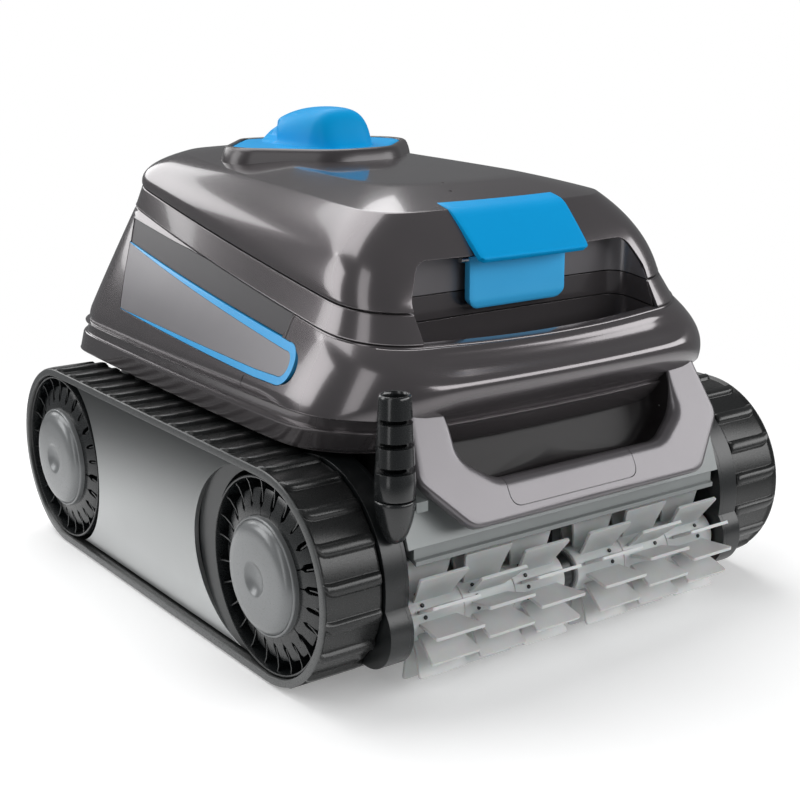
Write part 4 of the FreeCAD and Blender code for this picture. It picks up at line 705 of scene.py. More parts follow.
hood = drawn("outlet_hood_skin", hood_rings(), joined=False)
mounted(hood, "lid", "blue_cover", cover_abs, "outlet_hood", "nozzle_bezel", sharp=60)

# ---------------------------------------------------------------- front plate with its carrying grip
# One satin moulding: a flat plate leaning over the brush, whose opening rolls inwards over a thick lip into
# a pocket.  A separate pad wraps over the lip where the fingers hold.

plate_abs = finish_of("satin_plate_abs", "#6f6c6f", "#686568", 0.32, 0.04, grain=0.4, depth=0.0015, edge=0.4,
                      Metallic=0.5, Coat_Weight=0.25, Coat_Roughness=0.18)
pocket_abs = finish_of("dark_pocket_abs", "#262324", "#201e1f", 0.36, 0.04, grain=0.5, depth=0.002, edge=0.4,
                       Specular_IOR_Level=0.2)
PLATE_TOP, PLATE_BOTTOM = np.array([0.0, -183.0, 157.0]), np.array([0.0, -215.0, 99.0])
PLATE_LENGTH = float(np.linalg.norm(PLATE_BOTTOM - PLATE_TOP))
DOWN = (PLATE_BOTTOM - PLATE_TOP) / PLATE_LENGTH
INWARD = np.array([0.0, -DOWN[2], DOWN[1]])
# Outlines in the plate's own plane: x, and the distance down from the plate's top.
PLATE_EDGE = rounded([(-115, -8), (115, -8), (121.5, 33), (92.7, PLATE_LENGTH), (-92.7, PLATE_LENGTH),
                      (-121.5, 33)],
                     [2, 2, 12, 14, 14, 12], 8)
GRIP_EDGE = rounded([(-91, -4), (91, -4), (87, 24), (66, 40), (-66, 40), (-87, 24)],
                    [4, 4, 20, 20, 20, 20], 8)
GRIP_CENTRE = np.array([0.0, 20.0])
RAYS = np.linspace(0, 2 * math.pi, 361)[:-1]
ways = np.stack([np.cos(RAYS), np.sin(RAYS)], 1)


def reach_of(outline):
    """Distances from the grip's middle to a convex outline along every ray."""
    reach = []
    for way in ways:
        best = 0.0
        for a, b in zip(outline, np.roll(outline, -1, 0)):
            along, offset = b - a, a - GRIP_CENTRE
            bottom = way[0] * along[1] - way[1] * along[0]
            if abs(bottom) < 1e-9:
                continue
            distance = (offset[0] * along[1] - offset[1] * along[0]) / bottom
            part = (offset[0] * way[1] - offset[1] * way[0]) / bottom
            if distance > best and -1e-9 <= part <= 1 + 1e-9:
                best = distance
        reach.append(best)
    return np.array(reach)


def grown(outline, amount):
    """Convex outline moved outwards by an amount for each of its points."""
    along = np.roll(outline, -1, 0) - np.roll(outline, 1, 0)
    side = np.stack([along[:, 1], -along[:, 0]], 1) / np.linalg.norm(along, axis=1)[:, None]
    if np.sum((outline - GRIP_CENTRE) * side) < 0:
        side = -side
    return outline + side * np.broadcast_to(amount, len(outline))[:, None]


def lip_at(v):
    """Radius of the rolled lip by the distance down the plate: thin at the top, thick at the handhold."""
    return 1.4 + 6.2 * smooth((v - 4) / 24)


edge_reach = reach_of(PLATE_EDGE)
grip_reach = reach_of(GRIP_EDGE)
LIP = lip_at(GRIP_CENTRE[1] + ways[:, 1] * grip_reach)
lip_reach = {a: reach_of(grown(GRIP_EDGE, lip_at(GRIP_EDGE[:, 1]) * (1 - math.sin(math.radians(a)))))
             for a in range(0, 91, 9)}


def face_ring(reach, back):
    """Ring in the plate's own plane at a distance from the grip's middle, set back from the face."""
    flat = GRIP_CENTRE + ways * np.asarray(reach)[:, None]
    back = np.broadcast_to(back, len(flat))
    return PLATE_TOP + np.outer(flat[:, 0], (1, 0, 0)) + np.outer(flat[:, 1], DOWN) + np.outer(back, INWARD)


plate_rings = [face_ring(edge_reach - inset, back)
               for inset, back in ((1.0, 7.0), (0.0, 6.0), (0.0, 2.6), (0.3, 1.5), (1.2, 0.5), (2.6, 0.0))]
for t in np.linspace(0, 1, 9)[1:-1]:
    plate_rings.append(face_ring((edge_reach - 2.6) * (1 - t) + lip_reach[0] * t, 0.0))
for a, reach in lip_reach.items():
    plate_rings.append(face_ring(reach, LIP * (1 - math.cos(math.radians(a)))))
plate_rings += [face_ring(grip_reach + out, back) for out, back in ((0.2, LIP + 2), (1.5, LIP + 2), (3, 8.5))]
front_plate = drawn("front_plate_skin", plate_rings)

# Pad on the lower lip: a separate piece that wraps over it, set in a hairline groove.
PAD_SIDES, PAD_FOOT, PAD_ROUND, PAD_GROOVE = (-62.0, 38.0), 59.5, 8.0, 0.35


def pad_block(grow, low, high):
    """Body that follows the lip's rolled face between two offsets from it, grown at its sides."""
    lip = float(lip_at(40.0))
    turn = np.radians(np.linspace(0, 90, 10))
    line = [(PAD_FOOT + grow, 0.0)] + [(40 + lip * (1 - math.sin(a)), lip * (1 - math.cos(a))) for a in turn]
    line += [(40.0, lip + 1.5 + grow)]
    out = [(0.0, -1.0)] + [(-math.sin(a), -math.cos(a)) for a in turn] + [(-1.0, 0.0)]
    outline = [(v + dv * high, back + db * high) for (v, back), (dv, db) in zip(line, out)]
    outline += [(v + dv * low, back + db * low) for (v, back), (dv, db) in zip(line[::-1], out[::-1])]
    ends = []
    for u in (PAD_SIDES[0] - grow, PAD_SIDES[1] + grow):
        ends.append(np.array([PLATE_TOP + (u, 0, 0) + DOWN * v + INWARD * back for v, back in outline]))
    block = drawn("pad", ends, joined=False)
    near, far, foot = PAD_SIDES[0] - grow, PAD_SIDES[1] + grow, PAD_FOOT + grow
    corners = rounded([(near, 20), (far, 20), (far, foot), (near, foot)], [0, 0, PAD_ROUND, PAD_ROUND], 8)
    limit = [np.array([PLATE_TOP + (u, 0, 0) + DOWN * v + INWARD * back for u, v in corners])
             for back in (-5, 30)]
    return carved(block, [drawn("tool", limit, joined=False)], "INTERSECT")


front_plate = carved(front_plate, [pad_block(PAD_GROOVE, -1.3, 2.0)])
front_plate.name = "front_plate_skin"
mounted(front_plate, "chassis", "front_plate", plate_abs, "front_plate", sharp=50)
pad = pad_block(0.0, -1.2, 0.05)
pad.name = "grip_pad"
mounted(pad, "chassis", "front_plate", plate_abs, "grip_insert", sharp=50)

pocket_rings = [face_ring(grip_reach * 0.05, 26.5), face_ring(grip_reach - 14, 26.5)]
pocket_rings += [face_ring(grip_reach - inset, back)
                 for inset, back in ((8, 26.1), (4.5, 25.0), (2, 22.5), (0.9, 19), (0.4, 14))]
pocket_rings += [face_ring(grip_reach + 0.1, LIP + 0.5), face_ring(grip_reach + 2.6, LIP + 0.8)]
pocket_rings += [face_ring(grip_reach + 2.6, 28.5), face_ring(grip_reach * 0.05, 28.5)]
pocket = drawn("grip_pocket", pocket_rings, joined=False)
mounted(pocket, "chassis", "dark_shell", pocket_abs, "handle_pocket")

# ---------------------------------------------------------------- cable boot and gland
# Soft black PVC sleeve, cut by three slots in front so that it can bend, on a glossy bullet-shaped gland.

boot_pvc = finish_of("black_boot_pvc", "#1d1f20", "#141617", 0.26, 0.03, grain=0.5, depth=0.0008, edge=0.4,
                     Coat_Weight=0.4, Coat_Roughness=0.12)
BOOT_X, BOOT_Y = -134.8, -196.0


def turned(name, profile, centre, axis, steps=72):
    """Closed solid of revolution; profile holds (radius, distance along the axis) pairs."""
    turn = np.linspace(0, 2 * math.pi, steps + 1)[:-1]
    rings = []
    for radius, along in profile:
        flat = np.stack([np.cos(turn), np.sin(turn)], 1) * max(radius, 0.01)
        rings.append(np.insert(flat, axis, along, 1) + centre)
    return drawn(name, rings, joined=False)


boot_profile = [(0.5, 121), (11.0, 121), (11.5, 121.4), (11.7, 122.2), (11.7, 131.0), (11.5, 132.4),
                (11.1, 140), (10.6, 150), (10.1, 160), (9.6, 170), (9.25, 177.5), (9.15, 178.6), (8.8, 179.5),
                (8.2, 179.9), (7.6, 179.8), (7.1, 179.2), (6.9, 178), (6.6, 150), (6.4, 126), (0.5, 125.8)]
boot = turned("cable_boot_sleeve", boot_profile, (BOOT_X, BOOT_Y, 0), 2)
slots = [prism(np.array([(BOOT_X - 20, BOOT_Y - 20), (BOOT_X + 20, BOOT_Y - 20), (BOOT_X + 20, BOOT_Y + 1.5),
                         (BOOT_X - 20, BOOT_Y + 1.5)]), 2, z - high / 2, z + high / 2)
         for z, high in ((165.6, 3.0), (152.6, 3.2), (138.4, 3.8))]
boot = carved(boot, slots)
mounted(boot, "chassis", "black_plastic", boot_pvc, "cable_boot")
gland_profile = [(0.5, 94.3), (2.4, 94.6), (4.4, 95.8), (6.2, 98.0), (7.8, 101.2), (9.2, 105.2), (10.4, 110),
                 (11.2, 114.6), (11.6, 118), (11.7, 119.4), (11.4, 120.2), (10.8, 120.4), (0.5, 120.4)]
gland = turned("cable_gland_bullet", gland_profile, (BOOT_X, BOOT_Y, 0), 2)
mounted(gland, "chassis", "black_plastic", boot_pvc, "cable_gland", sharp=60)

# ---------------------------------------------------------------- repeating things
# Crossbars, ribs, blades and pins are one small moulding each, set at even steps along a path.

repeat = bpy.data.node_groups.new("set_along_path", "GeometryNodeTree")
repeat.interface.new_socket("Geometry", in_out="INPUT", socket_type="NodeSocketGeometry")
for name, kind in (("Piece", "NodeSocketObject"), ("Count", "NodeSocketInt"),
                   ("Material", "NodeSocketMaterial")):
    repeat.interface.new_socket(name, in_out="INPUT", socket_type=kind)
repeat.interface.new_socket("Geometry", in_out="OUTPUT", socket_type="NodeSocketGeometry")
given = add_node(repeat, "NodeGroupInput")
path_curve = add_node(repeat, "GeometryNodeMeshToCurve", {"Mesh": given.outputs["Geometry"]})
spaced = add_node(repeat, "GeometryNodeResampleCurve", {"Curve": path_curve.outputs[0],
                                                        "Count": given.outputs["Count"]})
tangent = add_node(repeat, "GeometryNodeInputTangent")
parts = add_node(repeat, "ShaderNodeSeparateXYZ", {0: tangent.outputs[0]})
lean = add_node(repeat, "ShaderNodeMath", {0: parts.outputs["Z"], 1: parts.outputs["Y"]}, operation="ARCTAN2")
turn_x = add_node(repeat, "ShaderNodeCombineXYZ", {"X": lean.outputs[0]})
piece_info = add_node(repeat, "GeometryNodeObjectInfo", {"Object": given.outputs["Piece"]},
                      transform_space="ORIGINAL")
placed = add_node(repeat, "GeometryNodeInstanceOnPoints", {"Points": spaced.outputs[0],
                                                           "Instance": piece_info.outputs["Geometry"],
                                                           "Rotation": turn_x.outputs[0]})
made_real = add_node(repeat, "GeometryNodeRealizeInstances", {0: placed.outputs[0]})
coloured = add_node(repeat, "GeometryNodeSetMaterial", {"Geometry": made_real.outputs[0],
                                                        "Material": given.outputs["Material"]})
add_node(repeat, "NodeGroupOutput", {0: coloured.outputs[0]})
SOCKETS = {item.name: item.identifier for item in repeat.interface.items_tree if item.in_out == "INPUT"}


def set_along(name, path, piece, count, material):
    """Copies of a piece at even steps along a closed path in a plane of constant x."""
    edges = [(i, (i + 1) % len(path)) for i in range(len(path))]
    mesh = bpy.data.meshes.new(name)
    mesh.from_pydata([tuple(point) for point in np.asarray(path) * MM], edges, [])
    made = bpy.data.objects.new(name, mesh)
    bpy.context.scene.collection.objects.link(made)
    step = made.modifiers.new("repeat", "NODES")
    step.node_group = repeat
    step[SOCKETS["Piece"]] = piece
    step[SOCKETS["Count"]] = count
    step[SOCKETS["Material"]] = material
    return evaluated(made)


# Pieces drawn at their full distance from the axis are set along a path too small to move them.
ON_AXIS = 0.001


def circle_path(x, y, z, radius, offset=0.0, steps=240):
    """Circle round an axis along X; its pieces have +Y along the circle and -Z outwards."""
    turn = np.linspace(0, 2 * math.pi, steps + 1)[:-1] + offset
    return np.stack([np.full(steps, float(x)), y + radius * np.cos(turn), z + radius * np.sin(turn)], 1)


def one_piece(*parts):
    """Join objects into the first."""
    points, faces, base = [], [], 0
    for part in parts:
        points += [tuple(vertex.co) for vertex in part.data.vertices]
        faces += [tuple(base + index for index in face.vertices) for face in part.data.polygons]
        base = len(points)
    mesh = bpy.data.meshes.new(parts[0].name)
    mesh.from_pydata(points, [], faces)
    parts[0].data = mesh
    for part in parts[1:]:
        bpy.data.objects.remove(part)
    return parts[0]


# ---------------------------------------------------------------- tracks
# Endless belts of black rubber with moulded crossbars; the outer edge carries a raised rim with a painted
# highlight of pale grey along it.

FRONT_AXLE, REAR_AXLE, AXLE_Z = -135.0, 150.0, 66.0
BELT_OUTER = 63.2


def rubber_with_painted_rim_highlight():
    """Black rubber with a painted highlight of pale grey along its outer edge, by the distance from the
    machine's middle.
    """
    made = finish_of("track_rubber", "#222323", "#191a1a", 0.3, 0.06, grain=0.7, depth=0.008, edge=0.6)
    tree = made.node_tree
    shader = next(item for item in tree.nodes if item.type == "BSDF_PRINCIPLED")
    base = shader.inputs["Base Color"].links[0].from_socket
    place = add_node(tree, "ShaderNodeTexCoord").outputs["Object"]
    apart = add_node(tree, "ShaderNodeSeparateXYZ", {0: place})
    distance = add_node(tree, "ShaderNodeMath", {0: apart.outputs["X"]}, operation="ABSOLUTE")
    # Painted highlight: pale grey mixed in at the outermost edge of the belt, its border wavered by noise.
    highlight_jitter = add_node(tree, "ShaderNodeTexNoise", {"Vector": place, "Scale": 90.0, "Detail": 4.0})
    spread = add_node(tree, "ShaderNodeMath", {0: highlight_jitter.outputs[0], 1: 0.0016, 2: distance.outputs[0]},
                      operation="MULTIPLY_ADD")
    pale = add_node(tree, "ShaderNodeMapRange", {0: spread.outputs[0], 1: 0.1842, 2: 0.1854, 3: 0.0, 4: 0.35})
    mixed = add_node(tree, "ShaderNodeMix", {0: pale.outputs[0], 6: base, 7: linear("#7c7e7e")},
                     data_type="RGBA")
    tree.links.new(mixed.outputs[2], shader.inputs["Base Color"])
    return made


rubber = rubber_with_painted_rim_highlight()


def belt_path(radius, x=0.0, steps=48):
    """Outline round both wheels: down at the rear, forwards underneath, and back over the top."""
    turn = np.radians(np.linspace(90, -90, steps))
    rear = np.stack([REAR_AXLE + radius * np.cos(turn), AXLE_Z + radius * np.sin(turn)], 1)
    turn = np.radians(np.linspace(270, 90, steps))
    front = np.stack([FRONT_AXLE + radius * np.cos(turn), AXLE_Z + radius * np.sin(turn)], 1)
    straight = np.linspace(0, 1, 60)[1:-1, None]
    low = rear[-1] + (front[0] - rear[-1]) * straight
    high = front[-1] + (rear[0] - front[-1]) * straight
    flat = np.concatenate([rear, low, front, high])
    return np.column_stack([np.full(len(flat), float(x)), flat])


BELT_PROFILE = [(145.0, 59.9), (145.0, 62.6), (145.5, 63.1), (147, 63.2), (181.4, 63.2), (182.4, 63.5),
                (183.2, 64.5), (184.0, 64.9), (184.7, 64.6), (185.0, 63.8), (185.0, 60.4), (184.4, 59.9)]
# Stations of a crossbar from its inner end to the hook at its outer end: x, half width, height and shift
# along the belt.
BAR_STATIONS = [(145.4, 2.6, 0.2, 0), (146.0, 2.9, 1.8, 0), (147.0, 3.1, 2.4, 0), (149.0, 3.2, 2.55, 0),
                (165.0, 3.2, 2.55, 0), (176.0, 3.1, 2.55, 0.0), (179.0, 2.9, 2.55, 0.4),
                (181.0, 2.5, 2.45, 1.1), (182.6, 2.0, 2.3, 2.2), (183.8, 1.5, 1.8, 3.4),
                (184.6, 1.1, 1.2, 4.6)]
for side, word in ((-1, "left"), (1, "right")):
    belt = drawn("belt", [belt_path(radius, side * x) for x, radius in BELT_PROFILE])
    bar_rings = []
    for x, half, high, shift in BAR_STATIONS:
        bar_rings.append(np.array([(side * x, shift + y, z) for y, z in (
            (-half - 1.3, -0.6), (-half - 0.9, 0.3), (-half, high - 0.7), (-half + 0.8, high),
            (half - 0.8, high), (half, high - 0.7), (half + 0.9, 0.3), (half + 1.3, -0.6))]))
    bar = drawn("bar", bar_rings, joined=False)
    bars = set_along("bars", belt_path(BELT_OUTER), bar, 44, rubber)
    bpy.data.objects.remove(bar)
    whole = one_piece(belt, bars)
    whole.name = "track_belt_" + word
    mounted(whole, "chassis", "rubber", rubber, "track_" + word, sharp=42)

# ---------------------------------------------------------------- wheels and hub caps
# Black glass-filled nylon wheels: a thin rim, a deep channel crossed by fine ribs, and a dish cut into
# petals.  The cap is a separate satin grey moulding with a finger-sized dimple.

wheel_nylon = finish_of("black_wheel_nylon", "#1a1d1e", "#131516", 0.28, 0.05, grain=0.6, depth=0.004,
                        edge=0.35, Coat_Weight=0.15, Coat_Roughness=0.25)
cap_abs = finish_of("satin_cap_abs", "#7d7f80", "#757778", 0.3, 0.04, grain=0.5, depth=0.002, edge=0.3,
                    Metallic=0.25, Coat_Weight=0.2, Coat_Roughness=0.2)
WHEEL_PROFILE = [(8.2, 147), (20, 147), (20, 168), (54.6, 168), (54.6, 147), (59.4, 147), (59.4, 182.0),
                 (59.1, 182.8), (58.5, 183.0), (57.9, 182.8), (57.7, 182.0), (57.3, 171.5), (50, 170.6),
                 (36.5, 170.6), (36.0, 182.0), (35.0, 182.4), (34.6, 170.0), (8.2, 170.0)]
CAP_PROFILE = [(0.5, 172), (35.6, 172), (35.6, 184.6), (35.2, 185.4), (34.6, 185.7), (34.1, 185.5),
               (33.9, 185.0), (33.6, 185.6), (33.0, 186.8), (31.8, 188.1), (30.0, 189.1), (27.6, 189.7),
               (24, 190.0), (17, 190.3), (11.4, 190.5), (10.7, 190.45), (10.1, 190.1), (9.0, 189.3),
               (7.0, 188.2), (4.4, 187.4), (1.8, 187.1), (0.5, 187.1)]
PETALS, ROUND_STEPS = 24, 120
petal_rows = [(36.0, 181.8), (37.5, 181.7), (40.0, 181.2), (42.5, 180.6), (44.5, 180.1), (47.5, 179.3),
              (50.0, 178.6), (51.2, 178.0), (51.4, 177.0)]


def petal(side):
    """One of the dish's petals; its middle points along -Z from the wheel's axis, and slots flank it."""
    rings = []
    for under in (0.0, 1.0):
        for radius, x in (petal_rows if not under else petal_rows[::-1]):
            full = math.pi / PETALS
            slot = 1.9 * math.sqrt(min(1.0, max(0.0, (radius - 41.0) / 1.9))) if radius > 41 else 0.0
            half = full - slot / radius
            turn = np.linspace(-half, half, 7)
            depth = x - under * 1.5
            row = [(side * depth, radius * math.sin(a), -radius * math.cos(a)) for a in turn]
            rings.append(np.array(row))
    rows, cells = len(rings), 7
    points = np.concatenate(rings)
    faces = [(a * cells + i, a * cells + i + 1, ((a + 1) % rows) * cells + i + 1,
              ((a + 1) % rows) * cells + i)
             for a in range(rows) for i in range(cells - 1)]
    half_rows = rows // 2
    for edge in (0, cells - 1):
        for a in range(half_rows - 1):
            b = rows - 1 - a
            quad = (a * cells + edge, (a + 1) * cells + edge, (b - 1) * cells + edge, b * cells + edge)
            faces.append(quad if edge else quad[::-1])
    return welded(mesh_object("petal", points, faces))


def rib(side):
    """Thin radial rib in the slot between two petals, from the dish to the rim."""
    outline = np.array([(-57.6, 171.0), (-57.6, 180.6), (-55.0, 179.6), (-48.0, 179.4), (-43.4, 180.0),
                        (-42.6, 179.0), (-42.6, 171.0)])
    low = [(side * x, -0.42, z) for z, x in outline]
    high = [(side * x, 0.42, z) for z, x in outline]
    return drawn("rib", [np.array(low), np.array(high)], joined=False)


for side, word in ((-1, "left"), (1, "right")):
    petal_piece, rib_piece = petal(side), rib(side)
    for place, axle in (("front", FRONT_AXLE), ("rear", REAR_AXLE)):
        corner = "%s_%s" % (place, word)
        centre = (0, axle, AXLE_Z)
        body = turned("wheel", [(radius, side * x) for radius, x in WHEEL_PROFILE], centre, 0, ROUND_STEPS)
        petals = set_along("petals", circle_path(0, axle, AXLE_Z, ON_AXIS), petal_piece, PETALS, wheel_nylon)
        ribs = set_along("ribs", circle_path(0, axle, AXLE_Z, ON_AXIS, math.pi / PETALS), rib_piece, PETALS,
                         wheel_nylon)
        wheel = one_piece(body, petals, ribs)
        wheel.name = "wheel_moulding_" + corner
        mounted(wheel, "wheel_" + corner, "rubber", wheel_nylon, "wheel_" + corner, sharp=35)
        cap_profile = [(radius, side * x) for radius, x in CAP_PROFILE]
        cap = turned("cap_moulding_" + corner, cap_profile, centre, 0, ROUND_STEPS)
        mounted(cap, "wheel_" + corner, "hub_grey", cap_abs, "hub_cap_" + corner, sharp=50)
    bpy.data.objects.remove(petal_piece)
    bpy.data.objects.remove(rib_piece)

# ---------------------------------------------------------------- flank panels
# Satin silver-grey cover plates between the wheels, slightly crowned, over the black frame inside each belt;
# their colour is darkened upwards as painted shade.

flank_paint_and_shade = finish_of("satin_silver_paint_painted_shade", "#bcbebe", "#b4b6b6", 0.3, 0.03, grain=0.35, depth=0.001,
                        edge=0.4, Metallic=0.85, Coat_Weight=0.15, Coat_Roughness=0.2)


def painted_shade_by_height(material, low, high, code):
    """Paint shade into a finish: its colour runs towards a darker one between two heights in mm."""
    tree = material.node_tree
    shader = next(item for item in tree.nodes if item.type == "BSDF_PRINCIPLED")
    base = shader.inputs["Base Color"].links[0].from_socket
    place = add_node(tree, "ShaderNodeTexCoord").outputs["Object"]
    apart = add_node(tree, "ShaderNodeSeparateXYZ", {0: place})
    rise = add_node(tree, "ShaderNodeMapRange", {0: apart.outputs["Z"], 1: low * MM, 2: high * MM})
    mixed = add_node(tree, "ShaderNodeMix", {0: rise.outputs[0], 6: base, 7: linear(code)}, data_type="RGBA")
    tree.links.new(mixed.outputs[2], shader.inputs["Base Color"])


# Painted shade: the flank plates run from the paint's own silver at 30 mm to a dark grey at 122 mm.
painted_shade_by_height(flank_paint_and_shade, 30.0, 122.0, "#5e6060")
CUT_CENTRE, CUT_RADIUS, REAR_RADIUS, PANEL_HALF = -110.0, 58.5, 62.4, 57.5


def strip_between(name, side, near_line, far_line, x_face, thick, crown, rows=60, cells=48):
    """Closed plate between two curves y(z) on a face of constant x, crowned by a few millimetres."""
    zs = AXLE_Z + PANEL_HALF * np.linspace(-1, 1, rows)
    grids = []
    for depth in (0.0, thick):
        grid = []
        for z in zs:
            y = np.linspace(near_line(z), far_line(z), cells)
            bend = crown * ((z - AXLE_Z) / PANEL_HALF) ** 2
            grid.append(np.column_stack([np.full(cells, side * (x_face - bend - depth)), y,
                                         np.full(cells, z)]))
        grids.append(np.array(grid))
    top, under = grids
    rings = [np.concatenate([g[0], g[1:, -1], g[-1, -2::-1], g[-2:0:-1, 0]]) for g in (under, top)]
    size = len(rings[0])
    points = np.concatenate(rings + [top.reshape(-1, 3), under.reshape(-1, 3)])
    faces = [(i, (i + 1) % size, size + (i + 1) % size, size + i) for i in range(size)]
    for base, flip in ((2 * size, False), (2 * size + rows * cells, True)):
        for i in range(rows - 1):
            for j in range(cells - 1):
                face = (base + i * cells + j, base + i * cells + j + 1, base + (i + 1) * cells + j + 1,
                        base + (i + 1) * cells + j)
                faces.append(face[::-1] if flip else face)
    return welded(mesh_object(name, points, faces))


def arc_line(centre, radius, sign):
    """Curve y(z) of a circle's front or rear side."""
    return lambda z: centre + sign * math.sqrt(max(0.0, radius ** 2 - (z - AXLE_Z) ** 2))


for side, word in ((-1, "left"), (1, "right")):
    panel = strip_between("flank_plate_" + word, side, arc_line(CUT_CENTRE, CUT_RADIUS, 1),
                          arc_line(REAR_AXLE, REAR_RADIUS, -1), 183.6, 3.0, 3.6)
    mounted(panel, "chassis", "flank_grey", flank_paint_and_shade, "flank_panel_" + word)
    shelf = strip_between("cutout_crescent_" + word, side, arc_line(FRONT_AXLE, REAR_RADIUS, 1),
                          arc_line(CUT_CENTRE, CUT_RADIUS - 1.2, 1), 179.8, 3.0, 1.0, cells=12)
    mounted(shelf, "chassis", "black_plastic", wheel_nylon)

# ---------------------------------------------------------------- brush
# Two half brushes of milky flexible PVC: flat flared blades in three staggered columns on a sleeve, with rows
# of small dark pins that hold the sleeve to its roller.

BRUSH_Y, BRUSH_Z = -181.0, 40.25
COLUMNS = ((8.0, 44.0), (47.0, 83.0), (86.0, 122.0))
ROWS = 13


def milky_pvc():
    """Cloudy satin PVC: light soaks in and comes out again, and some goes straight through."""
    made = finish_of("milky_pvc", "#dee0e0", "#ced1d1", 0.34, 0.06, grain=1.2, depth=0.01, patch=18.0,
                     edge=0.3)
    tree = made.node_tree
    shader = next(item for item in tree.nodes if item.type == "BSDF_PRINCIPLED")
    shader.inputs["Subsurface Weight"].default_value = 0.25
    shader.inputs["Subsurface Scale"].default_value = 0.004
    shader.inputs["Transmission Weight"].default_value = 0.25
    shader.inputs["IOR"].default_value = 1.5
    return made


brush_pvc = milky_pvc()
pin_black = finish_of("black_pin_nylon", "#141415", "#0c0c0d", 0.4, 0.05, edge=0.2)


def blade(side, near, far):
    """Flat blade that stands on the sleeve, wider at its tip, with rounded corners."""
    middle, half = side * (near + far) / 2, (far - near) / 2
    outline = rounded([(-half + 4.5, -13.5), (half - 4.5, -13.5), (half - 3.5, -22), (half, -36.9),
                       (-half, -36.9), (-half + 3.5, -22)], [0, 0, 6, 1.6, 1.6, 6], 4)
    layers = ((-1.0, 0.99), (-0.75, 1.0), (0.75, 1.0), (1.0, 0.99))
    faces = [np.array([(middle + u * w, y, v) for u, v in outline]) for y, w in layers]
    return drawn("blade", faces, joined=False)


for side, word in ((-1, "left"), (1, "right")):
    sleeve_steps = [(13.2, 5.5), (14.6, 5.5), (15.0, 6.0), (15.0, 45.0), (14.4, 45.5), (15.0, 46.0),
                    (15.0, 84.0), (14.4, 84.5), (15.0, 85.0), (15.0, 126), (14.6, 126.5), (13.2, 126.5)]
    sleeve = turned("sleeve", [(radius, side * x) for radius, x in sleeve_steps], (0, BRUSH_Y, BRUSH_Z), 0,
                    52)
    pieces, pins = [sleeve], []
    for number, (near, far) in enumerate(COLUMNS):
        step = 2 * math.pi / ROWS
        offset = step * 0.5 * (number % 2) + math.pi
        piece = blade(side, near, far)
        pieces.append(set_along("blades", circle_path(0, BRUSH_Y, BRUSH_Z, ON_AXIS, offset), piece, ROWS,
                                brush_pvc))
        bpy.data.objects.remove(piece)
        pin = turned("pin", [(0.02, -14.6), (1.3, -14.6), (1.3, -15.5), (1.0, -15.8), (0.02, -15.8)],
                     (side * (far - 9), 0, 0), 2, 10)
        pins.append(set_along("pins", circle_path(0, BRUSH_Y, BRUSH_Z, ON_AXIS, offset + step / 2), pin, ROWS,
                              pin_black))
        bpy.data.objects.remove(pin)
    brush = one_piece(*pieces)
    brush.name = "brush_sleeve_" + word
    mounted(brush, "brush_" + word, "brush_pvc", brush_pvc, "brush_blades_" + word, sharp=30)
    dots = one_piece(*pins)
    dots.name = "brush_pins_" + word
    mounted(dots, "brush_" + word, "black_plastic", pin_black)

# ---------------------------------------------------------------- what the CAD model already shows as it is
# Frames, gears, motors, filter and pins keep their own shapes and take the finish of what they are made of.

black_plastic = finish_of("black_frame_nylon", "#1b1e1f", "#131516", 0.32, 0.06, grain=0.6, depth=0.005,
                          edge=0.6, Coat_Weight=0.1, Coat_Roughness=0.3)
apron_abs = finish_of("satin_apron_abs", "#858989", "#7b7f7f", 0.36, 0.05, grain=0.5, depth=0.003, edge=0.5,
                      Metallic=0.2, Coat_Weight=0.2, Coat_Roughness=0.25)
gear_nylon = finish_of("ivory_gear_nylon", "#d8d5c8", "#cbc8ba", 0.5, 0.06, grain=0.8, depth=0.006, edge=0.2)
pin_steel = finish_of("brushed_stainless_steel", "#c4c6c8", "#b2b4b7", 0.28, 0.08, grain=0.3, depth=0.004,
                      edge=0.2, Metallic=1.0)
motor_resin = finish_of("potted_motor_can", "#3c4044", "#33373b", 0.45, 0.06, grain=0.9, depth=0.01, edge=0.4,
                        Metallic=0.4)
float_foam = finish_of("closed_cell_foam", "#e4e2da", "#d6d4cb", 0.85, 0.06, grain=1.4, depth=0.12, edge=0.8)
basket_mesh = finish_of("woven_filter_mesh", "#aeb6ba", "#9ba4a8", 0.6, 0.08, grain=0.8, depth=0.08, edge=0.1)
soft_seal = finish_of("soft_seal_rubber", "#232424", "#1a1b1b", 0.6, 0.08, grain=0.7, depth=0.01, edge=0.4)
finishes = {"body_shell": casing_abs, "front_plate": plate_abs, "dark_shell": pocket_abs,
            "blue_cover": cover_abs, "light_blue": lever_abs, "stripe_blue": stripe_abs,
            "black_plastic": black_plastic, "rubber": soft_seal, "hub_grey": cap_abs,
            "flank_grey": flank_paint_and_shade, "brush_pvc": brush_pvc, "core_grey": cap_abs, "gear_nylon": gear_nylon,
            "steel": pin_steel, "motor_can": motor_resin, "mesh_cloth": basket_mesh, "foam": float_foam}
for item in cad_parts.values():
    for slot in item.material_slots:
        slot.material = finishes[slot.material.name.split(".")[0]]
dressed(apron_abs, "brush_hood")

# ---------------------------------------------------------------- floor, light and camera
# Pale studio floor; a broad soft light overhead, a tall strip and a box at the left, one behind, and a wide
# bank at the front right.

FLOOR_REACH = 800.0
floor_corners = np.array([(-1, -1, 0), (1, -1, 0), (1, 1, 0), (-1, 1, 0)]) * FLOOR_REACH
floor = mesh_object("studio_floor", floor_corners, [(0, 1, 2, 3)])
floor_white = finish_of("pale_floor", "#f4f4f4", "#efefef", 0.8, 0.05, grain=4.0, depth=0.01, patch=900.0)


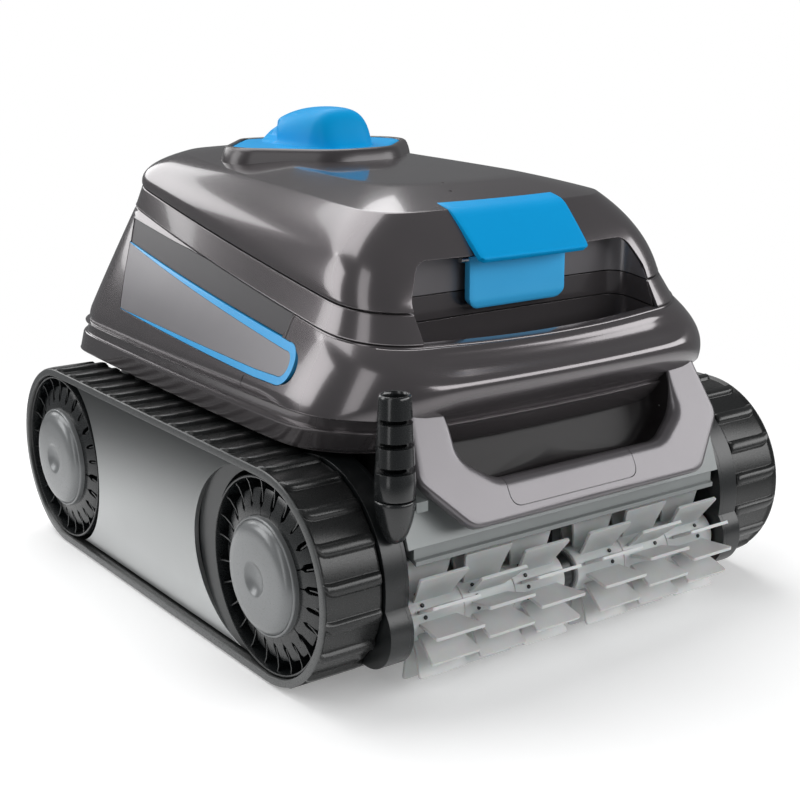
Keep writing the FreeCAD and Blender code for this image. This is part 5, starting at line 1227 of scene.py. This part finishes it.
def faded_edge(material, near, far):
    """Let the floor fade away between two distances in mm from its middle, into the white round it."""
    tree = material.node_tree
    shader = next(item for item in tree.nodes if item.type == "BSDF_PRINCIPLED")
    place = add_node(tree, "ShaderNodeTexCoord").outputs["Object"]
    away = add_node(tree, "ShaderNodeVectorMath", {0: place}, operation="LENGTH")
    fade = add_node(tree, "ShaderNodeMapRange", {0: away.outputs["Value"], 1: near * MM, 2: far * MM, 3: 1.0,
                                                 4: 0.0},
                    interpolation_type="SMOOTHSTEP")
    tree.links.new(fade.outputs[0], shader.inputs["Alpha"])
    shader.inputs["Emission Color"].default_value = (1.0, 1.0, 1.0, 1.0)
    shader.inputs["Emission Strength"].default_value = 0.22


faded_edge(floor_white, 300.0, 720.0)
floor.data.materials.append(floor_white)
floor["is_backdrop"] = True

world = bpy.data.worlds.new("studio")
bpy.context.scene.world = world
world.use_nodes = True
sky = world.node_tree
sky.nodes.clear()
seen = add_node(sky, "ShaderNodeLightPath").outputs["Is Camera Ray"]
plain = add_node(sky, "ShaderNodeBackground", {"Color": (1.0, 1.0, 1.0, 1.0), "Strength": 1.0})
around = add_node(sky, "ShaderNodeBackground", {"Color": (0.96, 0.98, 1.0, 1.0), "Strength": 0.16})
both = add_node(sky, "ShaderNodeMixShader", {0: seen, 1: around.outputs[0], 2: plain.outputs[0]})
add_node(sky, "ShaderNodeOutputWorld", {"Surface": both.outputs[0]})


def softbox(name, place, target, wide, tall, watts, tint="#ffffff"):
    """Rectangular light at a place in mm, turned to a target."""
    light = bpy.data.lights.new(name, "AREA")
    light.shape = "RECTANGLE"
    light.size, light.size_y = wide * MM, tall * MM
    light.energy = watts
    light.color = linear(tint)[:3]
    made = bpy.data.objects.new(name, light)
    bpy.context.scene.collection.objects.link(made)
    made.location = Vector(place) * MM
    made.rotation_euler = (Vector(target) - Vector(place)).to_track_quat("-Z", "Y").to_euler()
    return made


softbox("overhead", (0, 1000, 1900), (0, 100, 100), 2600, 1600, 40)
softbox("left_strip", (-1700, -660, 900), (-130, -130, 260), 560, 2600, 7.8)
softbox("left_rear", (-1500, 1100, 900), (-100, 60, 150), 900, 1200, 12)
softbox("side_rear", (-264, 1972, 939), (-100, 100, 255), 1200, 700, 7)
softbox("front_right_bank", (1100, -1450, 820), (80, -160, 150), 2800, 900, 30)

camera = bpy.data.objects.new("camera", bpy.data.cameras.new("camera"))
bpy.context.scene.collection.objects.link(camera)
camera.data.lens = 64.56
camera.data.sensor_width = 36.0
camera.data.clip_start = 0.05
camera.location = Vector((-573.5, -802.0, 378.4)) * MM
camera.rotation_euler = Vector((0.569, 0.780, -0.2605)).to_track_quat("-Z", "Y").to_euler()
bpy.context.scene.camera = camera
bpy.context.scene.view_settings.view_transform = "Standard"

low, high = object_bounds()
